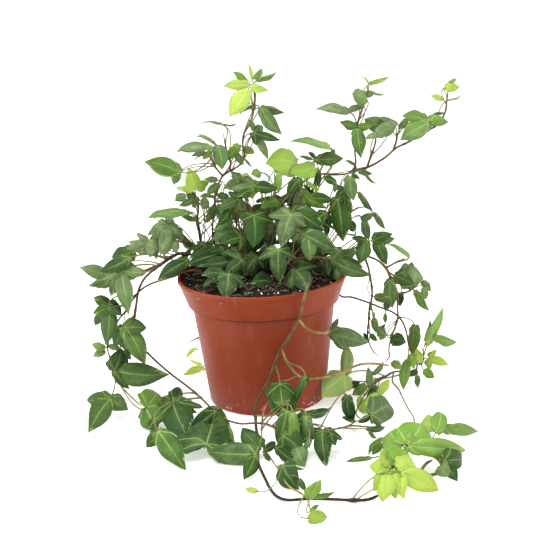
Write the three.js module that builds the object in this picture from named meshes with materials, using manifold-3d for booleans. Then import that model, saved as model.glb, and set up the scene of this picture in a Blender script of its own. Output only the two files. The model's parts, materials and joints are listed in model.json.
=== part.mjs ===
// A potted ivy: a tapered plastic nursery pot filled with compost, shoots that stand up in its middle, and
// vines that hang over its rim and lie in loops on the surface that the pot stands on. The leaves are lobed
// blades on stalks. The origin is the middle of the pot's underside, +Z is up, and sizes are in millimetres.

import * as THREE from "three";
import { mergeVertices } from "three/addons/utils/BufferGeometryUtils.js";
import Module from "manifold-3d";

const wasm = await Module();
wasm.setup();

// pot
const POT_HEIGHT = 92;
const RIM_RADIUS = 60;
const BASE_RADIUS = 41.4;
const BASE_CHAMFER = 1.2;
const WALL = 1.3;
const FLOOR = 1.6;
const BAND_HEIGHT = 18;
const BAND_FOOT_RADIUS = 54;
const STEP_HEIGHT = 3.5;
const BODY_TOP_RADIUS = 50.2;
const LIP_HEIGHT = 2.6;
const LIP_BULGE = 0.6;
const POT_SEGMENTS = 36;
const DRAIN_HOLES = 6;
const DRAIN_HOLE_RADIUS = 4;
const DRAIN_HOLE_SIDES = 10;
const DRAIN_RING_RADIUS = 32;

// compost
const SOIL_EDGE_HEIGHT = 88;
const SOIL_MIDDLE_HEIGHT = 90;

// plant
const STEM_SIDES = 5;
const STEM_RING_SPACING = 10;
const STALK_SIDES = 3;
const STALK_RINGS = 2;
const STALK_RADIUS = 0.65;
const STALK_BEND = 0.45;
const STALK_OVERLAP = 0.12;
const STALK_SLANT = 0.9;
const STALK_LEAST = 3;
const BLADE_THICKNESS = 0.8;
const BLADE_ARCH = 0.22;
const BLADE_FOLD = 0.35;
const SINGLE_LEAVES = 40;
const SHORTEST_LEAF = 16;
const STEM_LOWEST = 1.9;
const BLADE_LOWEST = 0.8;

// space between neighbouring pieces
const GAP = 0.4;

// Where the plant's points are given from: an eye in front of the pot. A point's across and up values are
// where its line of sight crosses the upright plane through the pot's axis, and its back value is how far
// it lies behind that plane (a negative one lies in front). A point that would lie lower than it can, on or
// over the surface that the pot stands on, slides forward along its line of sight until it is high enough.
const EYE_DISTANCE = 1000;
const EYE_HEIGHT = 379;

// Each stem's radius at its root and at its tip, and its routes: the main one, then its side shoots,
// as points of across, up and back, and the least height where it lies over the surface. A runner names
// the stem that it springs from.
const STEMS = {
  stem_upper_left: {
    rootRadius: 0.86,
    tipRadius: 0.5,
    routes: [
      [
        [-23, 90, 12], [-29, 104, 14], [-33, 118, 15], [-33, 128, 15], [-31, 138, 13], [-30, 149, 12],
        [-27, 158, 12], [-23, 164, 11], [-17, 167, 10], [-11, 171, 9], [-8, 177, 8], [-9, 185, 7],
        [-7, 194, 5], [-2, 202, 3], [0, 210, 2], [1, 218, 1], [-1, 225, 0],
      ],
      [
        [-24, 163, 11], [-29, 170, 9], [-32, 177, 7], [-38, 178, 5], [-44, 175, 3],
      ],
      [
        [-19, 166, 10], [-18, 172, 9], [-20, 179, 8], [-21, 186, 7], [-22, 193, 6],
      ],
    ],
  },
  stem_left_crown: {
    rootRadius: 0.87,
    tipRadius: 0.54,
    routes: [
      [
        [-30, 93, 26], [-37, 106, 23], [-42, 118, 20], [-43, 126, 18], [-44, 132, 16], [-42, 140, 13],
        [-42, 149, 9],
      ],
      [
        [-38, 108, 22], [-45, 112, 15], [-51, 117, 9], [-58, 124, 4],
      ],
    ],
  },
  stem_middle_crown: {
    rootRadius: 1.12,
    tipRadius: 0.61,
    routes: [
      [
        [5, 92, 14], [5, 106, 13], [5, 118, 10], [4, 128, 8], [6, 137, 6], [10, 146, 4], [13, 155, 3],
        [14, 162, 2],
      ],
      [
        [5, 120, 10], [-3, 130, 8], [-8, 140, 6], [-7, 150, 3],
      ],
    ],
  },
  stem_inner_crown: {
    rootRadius: 0.81,
    tipRadius: 0.54,
    routes: [
      [
        [-11, 89, 4], [-13, 103, 6], [-13, 118, 5], [-15, 132, 4], [-16, 143, 3],
      ],
    ],
  },
  stem_right_crown: {
    rootRadius: 0.87,
    tipRadius: 0.54,
    routes: [
      [
        [26, 92, 18], [32, 105, 20], [33, 120, 18], [35, 135, 14], [37, 147, 11], [40, 157, 9],
        [42, 166, 8],
      ],
      [
        [33, 122, 18], [43, 128, 16], [52, 136, 12], [58, 146, 8], [62, 156, 5],
      ],
    ],
  },
  stem_front_crown: {
    rootRadius: 0.74,
    tipRadius: 0.54,
    routes: [
      [
        [12, 84, -8], [14, 96, -10], [13, 106, -13],
      ],
      [
        [13, 92, -9], [22, 103, -8], [30, 112, -8],
      ],
    ],
  },
  stem_upper_right: {
    rootRadius: 1.05,
    tipRadius: 0.5,
    routes: [
      [
        [14, 93, 26], [17, 110, 30], [20, 126, 30], [22, 138, 28], [25, 148, 26], [33, 157, 25],
        [43, 161, 24], [54, 160, 23], [64, 161, 22], [68, 166, 21], [68, 176, 20], [69, 187, 18],
        [71, 197, 16], [74, 205, 14], [77, 213, 13], [79, 221, 13],
      ],
      [
        [66, 162, 21], [76, 164, 18], [88, 170, 14], [97, 177, 10], [106, 181, 8], [113, 186, 6],
        [121, 189, 5], [127, 193, 4], [131, 201, 3], [132, 209, 2], [133, 216, 2],
      ],
      [
        [76, 164, 18], [79, 172, 15], [82, 180, 12], [83, 186, 9],
      ],
      [
        [95, 175, 11], [97, 183, 10], [97, 191, 9],
      ],
    ],
  },
  stem_left_trail: {
    rootRadius: 0.99,
    tipRadius: 0.54,
    routes: [
      [
        [-34, 93, 4], [-45, 106, 2], [-57, 109, 0], [-66, 105, -3], [-72, 101, -5], [-79, 96, -7],
        [-84, 91, -8], [-88, 83, -9], [-90, 74, -8], [-92, 65, -6], [-94, 55, -2], [-91, 45, 2],
        [-84, 36, 5], [-77, 28, 5], [-68, 19, 4], [-58, 10, 0, 14], [-50, 2, 0, 12], [-44, -5, 0, 13],
        [-37, -14, 0, 14], [-30, -18, 0, 13], [-21, -21, 0, 12], [-12, -21, 0, 11], [-3, -22, 0, 10],
        [3, -25, 0, 10], [10, -26, 0, 10], [20, -28, 0, 10], [30, -29, 0, 9], [38, -29, 0, 8],
        [46, -29, 0, 7], [53, -28, 0, 6], [60, -27, 0, 5], [68, -28, 0, 3.5], [75, -29, 0], [83, -31, 0],
      ],
    ],
  },
  stem_outer_trail: {
    rootRadius: 0.81,
    tipRadius: 0.5,
    routes: [
      [
        [-34, 86, -12], [-46, 96, -10], [-57, 95, -7], [-65, 92, -5], [-72, 90, -2], [-79, 88, 0],
        [-86, 84, 2], [-92, 78, 2], [-97, 70, 2], [-104, 62, 2], [-110, 52, 3], [-113, 42, 4],
        [-112, 36, 4], [-111, 30, 2], [-109, 22, 0], [-106, 14, -4], [-102, 8, -8], [-97, 2, -14],
        [-92, -3, -20],
      ],
    ],
  },
  stem_front_trail: {
    rootRadius: 1.05,
    tipRadius: 0.85,
    routes: [
      [
        [35, 87, 6], [35, 86, -10], [33, 83, -32], [31, 79, -53], [29, 72, -58], [27, 64, -57],
        [25, 58, -52], [22, 52, -50], [16, 42, -50], [11, 35, -50], [5, 22, -51], [0, 10, -53],
        [-6, 0, -55], [-10, -9, -58], [-10, -17, -63], [-10, -25, -72], [-9, -35, 0, 3],
        [-10, -46, 0, 4], [-10, -52, 0, 5], [-8, -58, 0, 5], [-5, -66, 0, 4], [-1, -75, 0, 3],
        [3, -80, 0], [10, -83, 0], [25, -83, 0], [40, -83, 0], [60, -84, 0], [70, -84, 0], [79, -81, 0],
      ],
      [
        [11, 35, -50], [14, 26, -51], [18, 19, -51], [22, 14, -50], [28, 11, -48], [36, 11, -45],
        [45, 12, -38], [52, 14, -31], [59, 17, -24], [67, 20, -17], [78, 20, -11], [88, 18, -6],
      ],
      [
        [25, 56, -51], [30, 49, -51], [36, 46, -49], [42, 45, -43], [46, 46, -33],
      ],
    ],
  },
  stem_pale_runner: {
    parent: "stem_front_trail",
    rootRadius: 0.62,
    tipRadius: 0.54,
    routes: [
      [
        [22, 14, -50], [15, 11, -55], [8, 9, -57], [3, 1, -60], [-2, -8, -64], [-5, -17, -69],
        [-6, -26, -79], [-6, -38, 0, 4], [-3, -45, 0, 5], [0, -50, 0, 5], [4, -57, 0, 6], [8, -65, 0, 6],
        [11, -71, 0, 6], [15, -75, 0, 6], [20, -78, 0, 6], [25, -83, 0, 5], [26, -88, 0, 4],
        [27, -93, 0, 3],
      ],
    ],
  },
  stem_right: {
    rootRadius: 0.99,
    tipRadius: 0.54,
    routes: [
      [
        [34, 94, 12], [45, 103, 9], [56, 105, 6], [63, 105, 5], [68, 104, 4], [73, 101, 3], [80, 98, 2],
        [85, 94, 2], [88, 90, 2], [90, 85, 2], [92, 79, 3], [95, 73, 3], [95, 66, 4], [95, 60, 4],
        [95, 54, 5], [93, 47, 5], [91, 42, 5], [89, 36, 4], [88, 30, 3], [88, 24, 2], [85, 21, 1],
      ],
      [
        [72, 102, 3], [75, 92, -1], [76, 85, -3], [77, 78, -4], [77, 71, -4], [75, 62, -5], [74, 52, -5],
        [73, 42, -5], [74, 36, -6], [77, 29, -7], [81, 25, -8],
      ],
      [
        [88, 92, 3], [95, 95, 5], [102, 98, 6],
      ],
      [
        [95, 72, 4], [103, 73, 5], [109, 78, 6],
      ],
    ],
  },
  stem_back_right: {
    rootRadius: 0.87,
    tipRadius: 0.54,
    routes: [
      [
        [12, 98, 34], [18, 111, 50], [27, 112, 65], [38, 98, 74], [48, 82, 74], [55, 72, 70],
        [62, 71, 62], [70, 68, 54], [77, 65, 45], [83, 62, 37], [88, 60, 31], [93, 57, 25], [98, 51, 20],
        [101, 42, 15], [102, 35, 12], [104, 29, 10], [107, 23, 8], [108, 16, 6], [104, 11, 5],
        [97, 13, 4], [91, 13, 2], [84, 9, -5], [77, 5, -15], [71, -2, -30], [66, -10, -45],
        [63, -18, -70], [66, -22, -84],
      ],
      [
        [107, 19, 6], [111, 18, 2], [113, 26, 0], [111, 31, 0],
      ],
    ],
  },
  stem_lower_right: {
    parent: "stem_back_right",
    rootRadius: 0.56,
    tipRadius: 0.5,
    routes: [
      [
        [91, 13, 2], [90, 6, -6], [94, 0, -18], [97, -7, -38], [101, -16, -62], [105, -24, -84],
        [103, -34, -108], [99, -44, -130], [95, -52, -146], [90, -60, -160], [87, -65, -170],
      ],
    ],
  },
  stem_curl: {
    parent: "stem_lower_right",
    rootRadius: 0.85,
    tipRadius: 0.75,
    routes: [
      [
        [99, -44, -130], [105, -45, -132], [112, -49, -140], [119, -54, -148], [124, -58, -156],
        [125, -63, -162], [121, -68, -170], [114, -69, -172], [110, -66, -168], [113, -60, -160],
        [118, -57, -154],
      ],
    ],
  },
  stem_back_crown: {
    rootRadius: 0.87,
    tipRadius: 0.61,
    routes: [
      [
        [-14, 100, 36], [-17, 115, 40], [-16, 130, 40], [-12, 142, 40],
      ],
      [
        [-16, 118, 40], [0, 128, 44], [14, 138, 46], [22, 146, 44],
      ],
      [
        [-14, 106, 38], [-2, 112, 46], [3, 112, 60], [5, 101, 71], [5, 82, 75], [3, 62, 78],
        [-2, 46, 84], [-9, 37, 94], [-20, 38, 104], [-32, 43, 112], [-44, 47, 112], [-51, 45, 108],
        [-56, 42, 103],
      ],
      [
        [-32, 43, 112], [-37, 36, 90], [-42, 27, 70],
      ],
    ],
  },
};

// Leaves that stand or hang clear, by the stem that bears them: the blade's root as across, up and back, its
// tip in the same way, the turn of its face away from the eye in degrees, its youth from 0 to 1, and its
// width as a share of the usual width.
const LEAVES = {
  stem_upper_left: [
    [-3, 226, 0, -20, 226, -2, 20, 0.8, 0.44], [-4, 222, -2, -17.2, 204, -10, 10, 0.92, 0.6],
    [-1, 224, -2, 10, 221, -8, 0, 0.85, 0.51], [-4, 227, 2, -12, 235, 6, 30, 0.5, 0.52],
    [0, 229, 2, -2, 240, 4, 40, 1, 0.32], [3, 228, 1, 17, 232, 0, 40, 0.45, 0.32],
    [2, 229, 4, 7, 236, 8, 30, 0.6, 0.65], [1, 211, 2, -11, 207, 0, 65, 0.35, 0.4],
    [5, 209, 0, 18, 190, -8, 15, 0.25, 0.42], [5, 209, 1, 21, 205, 4, 30, 0.3, 0.36],
    [0, 192, -2, 17, 186, -10, 10, 0.1, 0.81], [0, 192, 2, 8, 173, 4, 20, 0.3, 0.32],
    [-1, 194, 4, -4, 202, 8, 30, 0.35, 0.52], [-8, 181, 12, -1, 178, 16, 0, 0.75, 0.71],
    [-12, 184, 12, -21, 174, 8, 10, 0.55, 0.57], [-14, 179, 7, -9, 170, 1, 10, 0.1, 0.48],
    [-8, 174, 5, -3, 168, 2, 50, 0.25, 0.4], [-26, 184, 4, -24, 168, -6, 0, 0.3, 0.68],
    [-31, 184, 2, -55, 182, -8, 50, 0.2, 0.4], [-34, 180, 5, -45, 178, 1, 50, 0.25, 0.4],
    [-31, 181, 6, -37, 175, 2, 20, 0.7, 0.6], [-22, 199, 6, -37, 202, 4, 70, 0.2, 0.36],
    [-21, 199, 6, -12, 198, 8, 70, 0.2, 0.32], [-28, 186, 10, -41, 194, 14, 65, 0.35, 0.36],
    [-53, 167, 0, -77, 176, -6, 12, 0.38, 0.48], [-55, 165, 6, -58, 159, 8, 20, 0.25, 0.75],
    [-27, 157, 4, -36, 150, -2, 10, 0.3, 0.56], [-30, 148, 8, -41, 150, 6, 55, 0.2, 0.44],
  ],
  stem_left_crown: [
    [-42, 146, 8, -51, 155, 10, 40, 0.2, 0.52], [-45, 148, 6, -56, 143, 0, 20, 0.2, 1],
    [-49, 139, 6, -78, 136, -8, 65, 0.35, 0.48], [-45, 133, 12, -54, 136, 8, 30, 0.45, 0.52],
    [-44, 155, 4, -47, 169, 10, 0, 0.82, 1.43], [-60, 127, 6, -65, 138, 12, 45, 0.3, 0.55],
    [-60, 126, 2, -69, 107, -8, 0, 0.17, 0.95], [-71, 127, 8, -75, 106, 0, 35, 0.15, 0.44],
    [-47, 113, 10, -56, 120, 12, 40, 0.07, 0.6], [-36, 114, 10, -51, 112, 4, 40, 0.15, 0.4],
    [-26, 108, -2, -51, 102, -16, 15, 0.06, 0.52], [-52, 104, -6, -74, 91, -18, 15, 0.1, 0.44],
    [-50, 111, 5, -58, 103, 0, 20, 0.17, 0.4], [-22, 102, -12, -42, 100, -22, 20, 0.1, 1.11],
    [-27, 93, -22, -41, 94, -34, 30, 0.07, 0.6], [-39.1, 113.6, 2, -50.1, 105.5, -4, 0, 0.07, 0.89],
    [-64, 129.4, 0, -71, 108, -8, 0, 0.15, 1.06], [-80.1, 118.6, 0, -94.4, 113.6, -6, 0, 0.15, 1.06],
    [-69.6, 128.2, 2, -79.1, 122.9, 2, 0, 0.15, 0.41], [-75.8, 119.9, 0, -78, 107.6, -6, 0, 0.12, 0.76],
    [-12.1, 160.3, 8, -24.3, 153.8, 4, 0, 0.3, 1.11], [-50.8, 150.9, 2, -58, 147, 2, 0, 0.15, 0.67],
    [-28, 160.4, 6, -36.3, 161.5, 6, 0, 0.3, 0.57], [-59.2, 117.6, -4, -59.7, 109.6, -6, 0, 0.2, 0.76],
  ],
  stem_inner_crown: [
    [-14, 146, 1, -29, 140, -5, 15, 0.2, 1.11], [-20, 139, 0, -30, 128, -9, 0, 0.15, 1.28],
    [-31, 141, 7, -38, 130, 3, 30, 0.3, 0.92], [-20, 130, 3, -32, 125, -3, 30, 0.3, 0.52],
    [-20, 125, 0, -34, 118, -6, 30, 0.2, 0.56], [-14, 119, -4, -29, 116, -12, 20, 0.17, 1.01],
    [-24, 112, -4, -36, 108, -10, 20, 0.07, 1.01], [-10, 150, 6, -20, 143, 3, 20, 0.2, 1.01],
    [-14, 102, -16, -27, 92, -28, 0, 0.15, 1.17], [-18, 107, -8, -27, 108, -14, 10, 0.15, 0.64],
    [-24, 92, -30, -27, 75, -50, 0, 0.12, 1.28], [-4, 104, -8, -13, 91, -18, 10, 0.06, 1.11],
    [-4, 134, -6, -5, 111, -14, 0, 0.12, 1.19], [-14.2, 120.3, 16, -22.4, 110.6, 8, 0, 0.05, 1],
    [-22.1, 104, -4, -26.9, 93.3, -14, 0, 0.03, 0.98],
    [-33.5, 112.6, 4, -43.3, 102.2, -6, 0, 0.05, 0.95],
    [-36.8, 140.9, 4, -37.7, 149.5, 4, 0, 0.15, 0.72], [-21.1, 148, 6, -30, 149.8, 6, 0, 0.15, 0.57],
  ],
  stem_middle_crown: [
    [-2, 155, -2, 13, 152, -10, 15, 0.12, 0.6], [-3, 155, 0, -21, 154, -6, 30, 0.3, 1],
    [-3, 157, 4, -13, 162, 8, 40, 0.45, 0.6], [-5, 152, -4, -14, 148, -10, 20, 0.2, 0.56],
    [2, 164, 4, -4, 163, 4, 20, 0.7, 0.76], [1, 128, -4, 4, 116, -8, 40, 0.15, 0.48],
    [14, 139, -2, 8, 129, -8, 10, 0.08, 1.1], [18, 137, -6, 12, 123, -12, 20, 0.15, 1.1],
    [12, 144, 0, 1, 140, -4, 30, 0.35, 0.92], [27, 169.3, 6, 6.8, 171.7, 0, 28, 0.75, 1.02],
    [16, 168, 6, 30, 172, 10, 20, 0.6, 0.44], [15, 163, -2, 14, 148, -6, 20, 0.62, 0.4],
    [16.4, 115.9, 20, 20.9, 104.8, 14, 0, 0.03, 1.07], [-7.6, 112.8, 16, -13.8, 101.4, 8, 0, 0, 1],
    [4.1, 107.8, 10, 0, 95.6, 0, 0, 0, 0.88], [-4, 100.2, 4, -8.8, 88, -6, 0, 0, 0.91],
  ],
  stem_right_crown: [
    [39.6, 165.9, 4, 23.3, 163, -2, 12, 0.75, 0.82], [29, 158, -2, 20, 147, -8, 0, 0.15, 0.65],
    [34, 156, -2, 43, 149, -8, 30, 0.6, 0.32], [42, 163, 4, 42, 152, 0, 30, 0.1, 0.52],
    [33, 153, 4, 41, 145, 0, 50, 0.05, 0.32], [36, 145, -2, 53, 142, -10, 20, 0.2, 0.52],
    [30, 150, 4, 47, 136, -8, 20, 0.42, 0.36], [31, 140, 4, 23, 134, -2, 20, 0.15, 0.52],
    [22, 133, -12, 14, 110, -22, 5, 0.11, 1.23], [24, 136, -6, 44, 120, -16, 10, 0.15, 0.64],
    [46, 133, 2, 31, 123, -8, 10, 0.2, 0.56], [55, 143, 4, 57, 112, -8, 10, 0.25, 0.52],
    [60, 144, 2, 62, 127, -2, 20, 0.2, 0.52], [64, 158, 4, 66, 141, -4, 0, 0.25, 0.6],
    [66, 160, 4, 71, 156, 0, 20, 0.05, 1.1], [60, 149, 2, 53, 143, -4, 20, 0.1, 1.1],
    [54, 154, 4, 45, 159, 4, 20, 0.3, 0.64], [54, 153, 4, 53, 147, 2, 20, 0.4, 0.6],
    [42, 171, 8, 60, 171, 2, 15, 0.15, 0.56], [50, 173, 10, 55, 178, 14, 30, 0.25, 0.48],
    [50, 180, 6, 24, 187, 0, 50, 0.4, 0.4], [41, 172, 4, 36, 177, 4, 30, 0.1, 0.48],
    [38, 172, 9, 29, 174, 11, 50, 0.3, 0.4], [66, 120, 8, 61, 128, 8, 10, 0.15, 0.71],
    [27.5, 113.1, 16, 32, 101.3, 10, 0, 0.07, 1], [35.1, 109.1, 14, 42.5, 98.5, 8, 0, 0.05, 0.88],
    [24.6, 109.7, 26, 17.1, 99.1, 22, 0, 0, 1.06], [46.9, 124.5, 16, 46.6, 115.8, 12, 0, 0.1, 1.11],
    [47.8, 131.6, 18, 48.9, 122.9, 16, 0, 0.05, 0.72],
  ],
  stem_front_crown: [
    [12, 108, -20, 12, 84, -34, 0, 0.11, 1.11], [30, 119, -12, 54, 104, -26, 15, 0.16, 0.52],
    [33, 117, -14, 34, 99, -28, 0, 0.23, 0.6], [6, 85, -18, -6, 86, -34, 20, 0.06, 0.64],
    [22, 93, -18, 19, 79, -34, 20, 0.1, 0.52], [24, 92, -20, 32, 76, -46, 0, 0.1, 1.06],
    [33, 97, -8, 20, 93, -16, 30, 0.17, 0.92], [50, 99, -14, 77, 86, -34, 20, 0.2, 0.84],
    [52, 102, -4, 67, 104, -12, 25, 0.19, 0.6], [52, 97, -12, 53, 84, -26, 0, 0.17, 0.6],
    [46, 97, -12, 47, 88, -24, 20, 0.12, 0.52], [17.3, 104.2, 8, 13.3, 92, 0, 0, 0.03, 0.98],
    [29.1, 98.5, -12, 25.1, 88.4, -22, 0, 0.03, 0.95], [42.4, 97.8, -8, 47.7, 86.5, -18, 0, 0.12, 0.96],
  ],
  stem_upper_right: [
    [64, 204, 14, 43, 208, 8, 30, 0.25, 0.4], [74, 207, 12, 63, 203, 6, 30, 0.15, 0.48],
    [77, 212, 12, 67, 216, 6, 20, 0.4, 1.06], [76, 214, 14, 83, 216, 12, 20, 0.45, 0.82],
    [79, 222, 14, 94, 226, 16, 50, 0.7, 0.4], [80, 217, 14, 89, 213, 16, 70, 0.4, 0.32],
    [79, 222, 14, 74, 228, 16, 60, 0.9, 0.36], [69, 193, 14, 59, 197, 8, 15, 0.4, 0.56],
    [70, 191, 10, 72, 172, -2, 0, 0.33, 0.53], [71, 193, 12, 80, 193, 6, 0, 0.5, 0.6],
    [83, 187, 8, 98, 194, 2, 10, 0.3, 0.6], [97, 194, 10, 84, 199, 12, 40, 0.3, 0.32],
    [83, 188, 7, 75, 184, 0, 20, 0.45, 0.4], [118, 195, 6, 101, 199, 0, 20, 0.42, 0.53],
    [119, 193, 3, 100, 183, -6, 10, 0.4, 0.6], [120, 195, 4, 133, 193, -2, 20, 0.5, 0.65],
    [123, 199, 7, 132, 200, 4, 60, 0.4, 0.48], [131, 217, 1, 141, 217, -2, 10, 0.9, 0.71],
    [133, 219, 3, 139, 223, 4, 30, 0.85, 0.48], [129, 209, 3, 121, 212, 4, 20, 0.92, 0.56],
    [132, 208, 3, 143, 211, 4, 70, 0.5, 0.32], [70, 162, 16, 79, 159, 10, 20, 0.3, 0.48],
    [68, 166, 22, 61, 170, 24, 40, 0.35, 0.44], [74, 161, 14, 82, 151, 8, 60, 0.4, 0.4],
    [89.2, 191.7, 14, 74.9, 198, 12, 0, 0.3, 0.82], [104.4, 195.9, 12, 98.1, 189.9, 10, 0, 0.2, 0.67],
  ],
  stem_left_trail: [
    [-80, 112, 10, -92, 121, 14, 30, 0.35, 0.71], [-89, 112, 0, -105, 109, -6, 25, 0.12, 0.89],
    [-92, 108, -6, -114, 99, -14, 10, 0.12, 0.48], [-108, 97, 0, -127, 103, -6, 10, 0.3, 0.54],
    [-106, 91, 2, -123, 89, -4, 50, 0.3, 0.72], [-99, 98, -8, -96, 66, -18, 0, 0.3, 1.06],
    [-103, 92, -2, -108, 81, -8, 20, 0.25, 0.72], [-98, 93, 0, -89, 96, -2, 30, 0.3, 0.44],
    [-99, 57, -8, -87, 28, -18, 0, 0.3, 0.5], [-99.2, 56.8, -9, -84, 55.4, -12, 0, 0.28, 0.89],
    [-100, 55.3, 2, -100.9, 39.5, 4, 0, 0.15, 0.69],
  ],
  stem_outer_trail: [
    [-110, 74, -4, -114, 44, -14, 0, 0.25, 0.45], [-101, 58, -2, -108, 42, -10, 10, 0.28, 0.57],
    [-109, 25, -4, -72, 20, -16, 0, 0.2, 0.46], [-115, 42, 4, -124, 46, 4, 30, 0.55, 0.76],
    [-115, 40, 4, -124, 36, 2, 40, 0.5, 0.72], [-110.4, 72.5, -5, -121.1, 68.3, -9, 0, 0.3, 0.82],
    [-110, 72.1, -7, -101.1, 66.6, -11, 0, 0.12, 0.63], [-109.1, 25.2, -5, -103, 41, -3, 0, 0.05, 1.02],
    [-109.7, 24.4, -6, -99.5, 9.8, -12, 0, 0.2, 0.44], [-110.2, 74.4, 2, -120.1, 80.3, 4, 0, 0.35, 0.85],
    [-110.3, 75.5, 4, -101, 65.7, 2, 0, 0.1, 0.78], [-115.5, 67.6, 2, -120.5, 58.9, 2, 0, 0.25, 0.67],
    [-104.8, 40.8, 2, -113.8, 43.6, 4, 0, 0.4, 0.53], [-100.6, 39.8, -2, -96.8, 32.1, -4, 0, 0.1, 0.57],
  ],
  stem_front_trail: [
    [47, 46, -30, 74, 36, -34, 0, 0.15, 0.54], [48, 44, -32, 59, 31, -38, 20, 0.15, 0.52],
    [48, 48, -28, 53, 56, -26, 20, 0.25, 0.52],
  ],
  stem_right: [
    [73, 112, 4, 69, 95, -4, 0, 0.3, 0.68], [74, 112, 4, 64, 115, 2, 20, 0.15, 0.56],
    [79, 112, 2, 93, 116, -4, 10, 0.25, 0.6], [82, 111, 2, 88, 93, -6, 15, 0.2, 0.52],
    [79, 109, 4, 81, 101, 2, 30, 0.3, 0.48], [73, 126, 12, 76, 112, 8, 20, 0.25, 0.52],
    [71, 127, 10, 80, 131, 8, 20, 0.2, 0.56], [80, 131, 20, 87, 119, 14, 30, 0.4, 0.4],
    [104, 99, 6, 90, 110, 4, 45, 0.5, 0.36], [70, 146, 20, 79, 133, 14, 40, 0.3, 0.4],
    [97, 84, 8, 114, 82, 4, 0, 0.35, 1.19], [105, 88, 8, 106, 95, 12, 20, 0.3, 0.76],
    [94, 85, 2, 107, 78, -4, 10, 0.2, 0.82], [92, 84, 2, 86, 75, -4, 20, 0.3, 0.52],
    [90, 82, -1, 91, 61, -8, 10, 0.2, 0.52], [79, 70, -5, 89, 69, -11, 10, 0.35, 0.69],
    [98, 72, 7, 96, 62, 5, 30, 0.1, 0.62], [89, 69, 0, 86, 59, -6, 20, 0.25, 0.67],
    [113, 80, 6, 119, 72, 3, 10, 0.3, 0.6], [108, 73, 4, 117, 57, 2, 30, 0.5, 0.4],
    [86, 57, 6, 86, 50, 4, 20, 0.5, 0.55], [78, 54, -8, 79, 43, -12, 20, 0.42, 0.6],
    [78, 54, -8, 77, 60, -6, 30, 0.4, 0.55], [82, 45, -4, 86, 50, -3, 20, 0.1, 0.52],
    [86, 41, -4, 79, 47, -9, 20, 0.3, 0.92], [72, 39, -3, 70, 44, -3, 20, 0.1, 0.65],
    [75, 42, -8, 80, 37, -10, 20, 0.2, 0.65], [90, 38, 0, 100, 35, -7, 0, 0.2, 0.99],
    [85.7, 109.4, 2, 94.3, 112.6, 2, 0, 0.2, 0.57], [114, 75, 2, 115.3, 66, 2, 0, 0.35, 0.67],
    [62.2, 99, 6, 71.2, 91.9, 2, 0, 0.3, 0.43],
  ],
  stem_back_right: [
    [107, 47, 20, 105, 24, 12, 30, 0.45, 0.55], [116, 33, 8, 128, 60, 12, 45, 0.5, 0.36],
    [114, 36, 6, 119, 51, 8, 45, 0.45, 0.32], [121, 38, 8, 137, 32, 4, 40, 0.55, 0.57],
    [116, 32, 6, 116, 41, 8, 20, 0.8, 0.4], [117, 22, 6, 131, 16, 2, 0, 0.86, 1.11],
    [110, 19, 0, 108, 30, 2, 0, 0.9, 0.72], [113, 13, 0, 120, 7, -6, 10, 0.62, 0.76],
    [101, 21, 4, 97, -1, -6, 30, 0.55, 0.41], [108, 9, 0, 108, 0, -5, 20, 0.3, 0.57],
    [90, 20, 4, 97, 16, 0, 10, 0.75, 0.86], [108, 13, 2, 102, 9, -2, 10, 0.1, 0.72],
    [79, 2, -16, 70, -9, -32, 10, 0.05, 0.4], [74, 1, -20, 73, 18, -14, 30, 0.3, 0.38],
    [76, 12, -12, 85, 21, -8, 40, 0.3, 0.41], [80, -3, -24, 88, 8, -18, 10, 0.82, 0.53],
    [79, -4, -27, 69, -19, -46, 10, 0.82, 0.5], [66, -5, -36, 68, -18, -48, 20, 0.62, 0.45],
    [58, 3, -10, 67, 7, -10, 10, 0, 0.53], [54, 4, -10, 50, 5, -10, 10, 0.1, 0.56],
    [56, 12, -14, 39, -3, -32, 0, 0.8, 0.82], [56, 13, 4, 58, 37, 12, 20, 0.75, 0.45],
    [70.8, 3.3, -10, 60.5, -3.1, -12, 0, 0.5, 0.67], [103.1, 25.3, 0, 105.7, 13.7, -2, 0, 0.6, 0.48],
  ],
  stem_back_crown: [
    [-15, 143, 42, -28, 130, 62, 170, 0.2, 1.01], [22, 148, 46, 31, 130, 66, 180, 0.15, 1.01],
    [-5, 140, 46, -8, 121, 66, 180, 0.25, 1.01], [10, 146, 48, 12, 130, 70, 180, 0.2, 1.01],
    [30, 140, 46, 44, 127, 60, 170, 0.3, 0.92], [-22, 128, 46, -36, 115, 62, 180, 0.07, 1.01],
    [2, 124, 50, 4, 108, 72, 180, 0.05, 1.01], [22, 124, 52, 32, 110, 70, 180, 0.12, 1.01],
    [-12, 116, 52, -22, 101, 72, 180, 0.15, 1.01], [34, 116, 50, 46, 105, 64, 180, 0.1, 1.01],
    [-28, 110, 50, -40, 101, 64, 180, 0.2, 0.92], [5, 96, 74, -10, 88, 92, 170, 0.1, 1.01],
    [6, 82, 78, 20, 72, 94, 180, 0.1, 1.01], [3, 63, 81, -12, 52, 96, 180, 0.15, 1.01],
    [0, 50, 86, 15, 44, 98, 180, 0.12, 0.92], [-20, 40, 106, -12, 46, 120, 180, 0.6, 0.92],
    [-51, 38, 96, -58, 32, 84, 40, 0.9, 0.73], [-47, 24, 62, -60, 19, 47, 20, 0.95, 1.01],
    [1.1, 118.8, 20, -4.3, 107.5, 14, 0, 0.03, 1.03], [8.3, 122.1, 24, 6.3, 108.4, 16, 0, 0.05, 1.06],
    [38.8, 113.3, 30, 45.4, 102, 26, 0, 0.03, 1.03], [-8.8, 116.4, 30, -15, 105.1, 26, 0, 0, 1.06],
  ],
};

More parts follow.
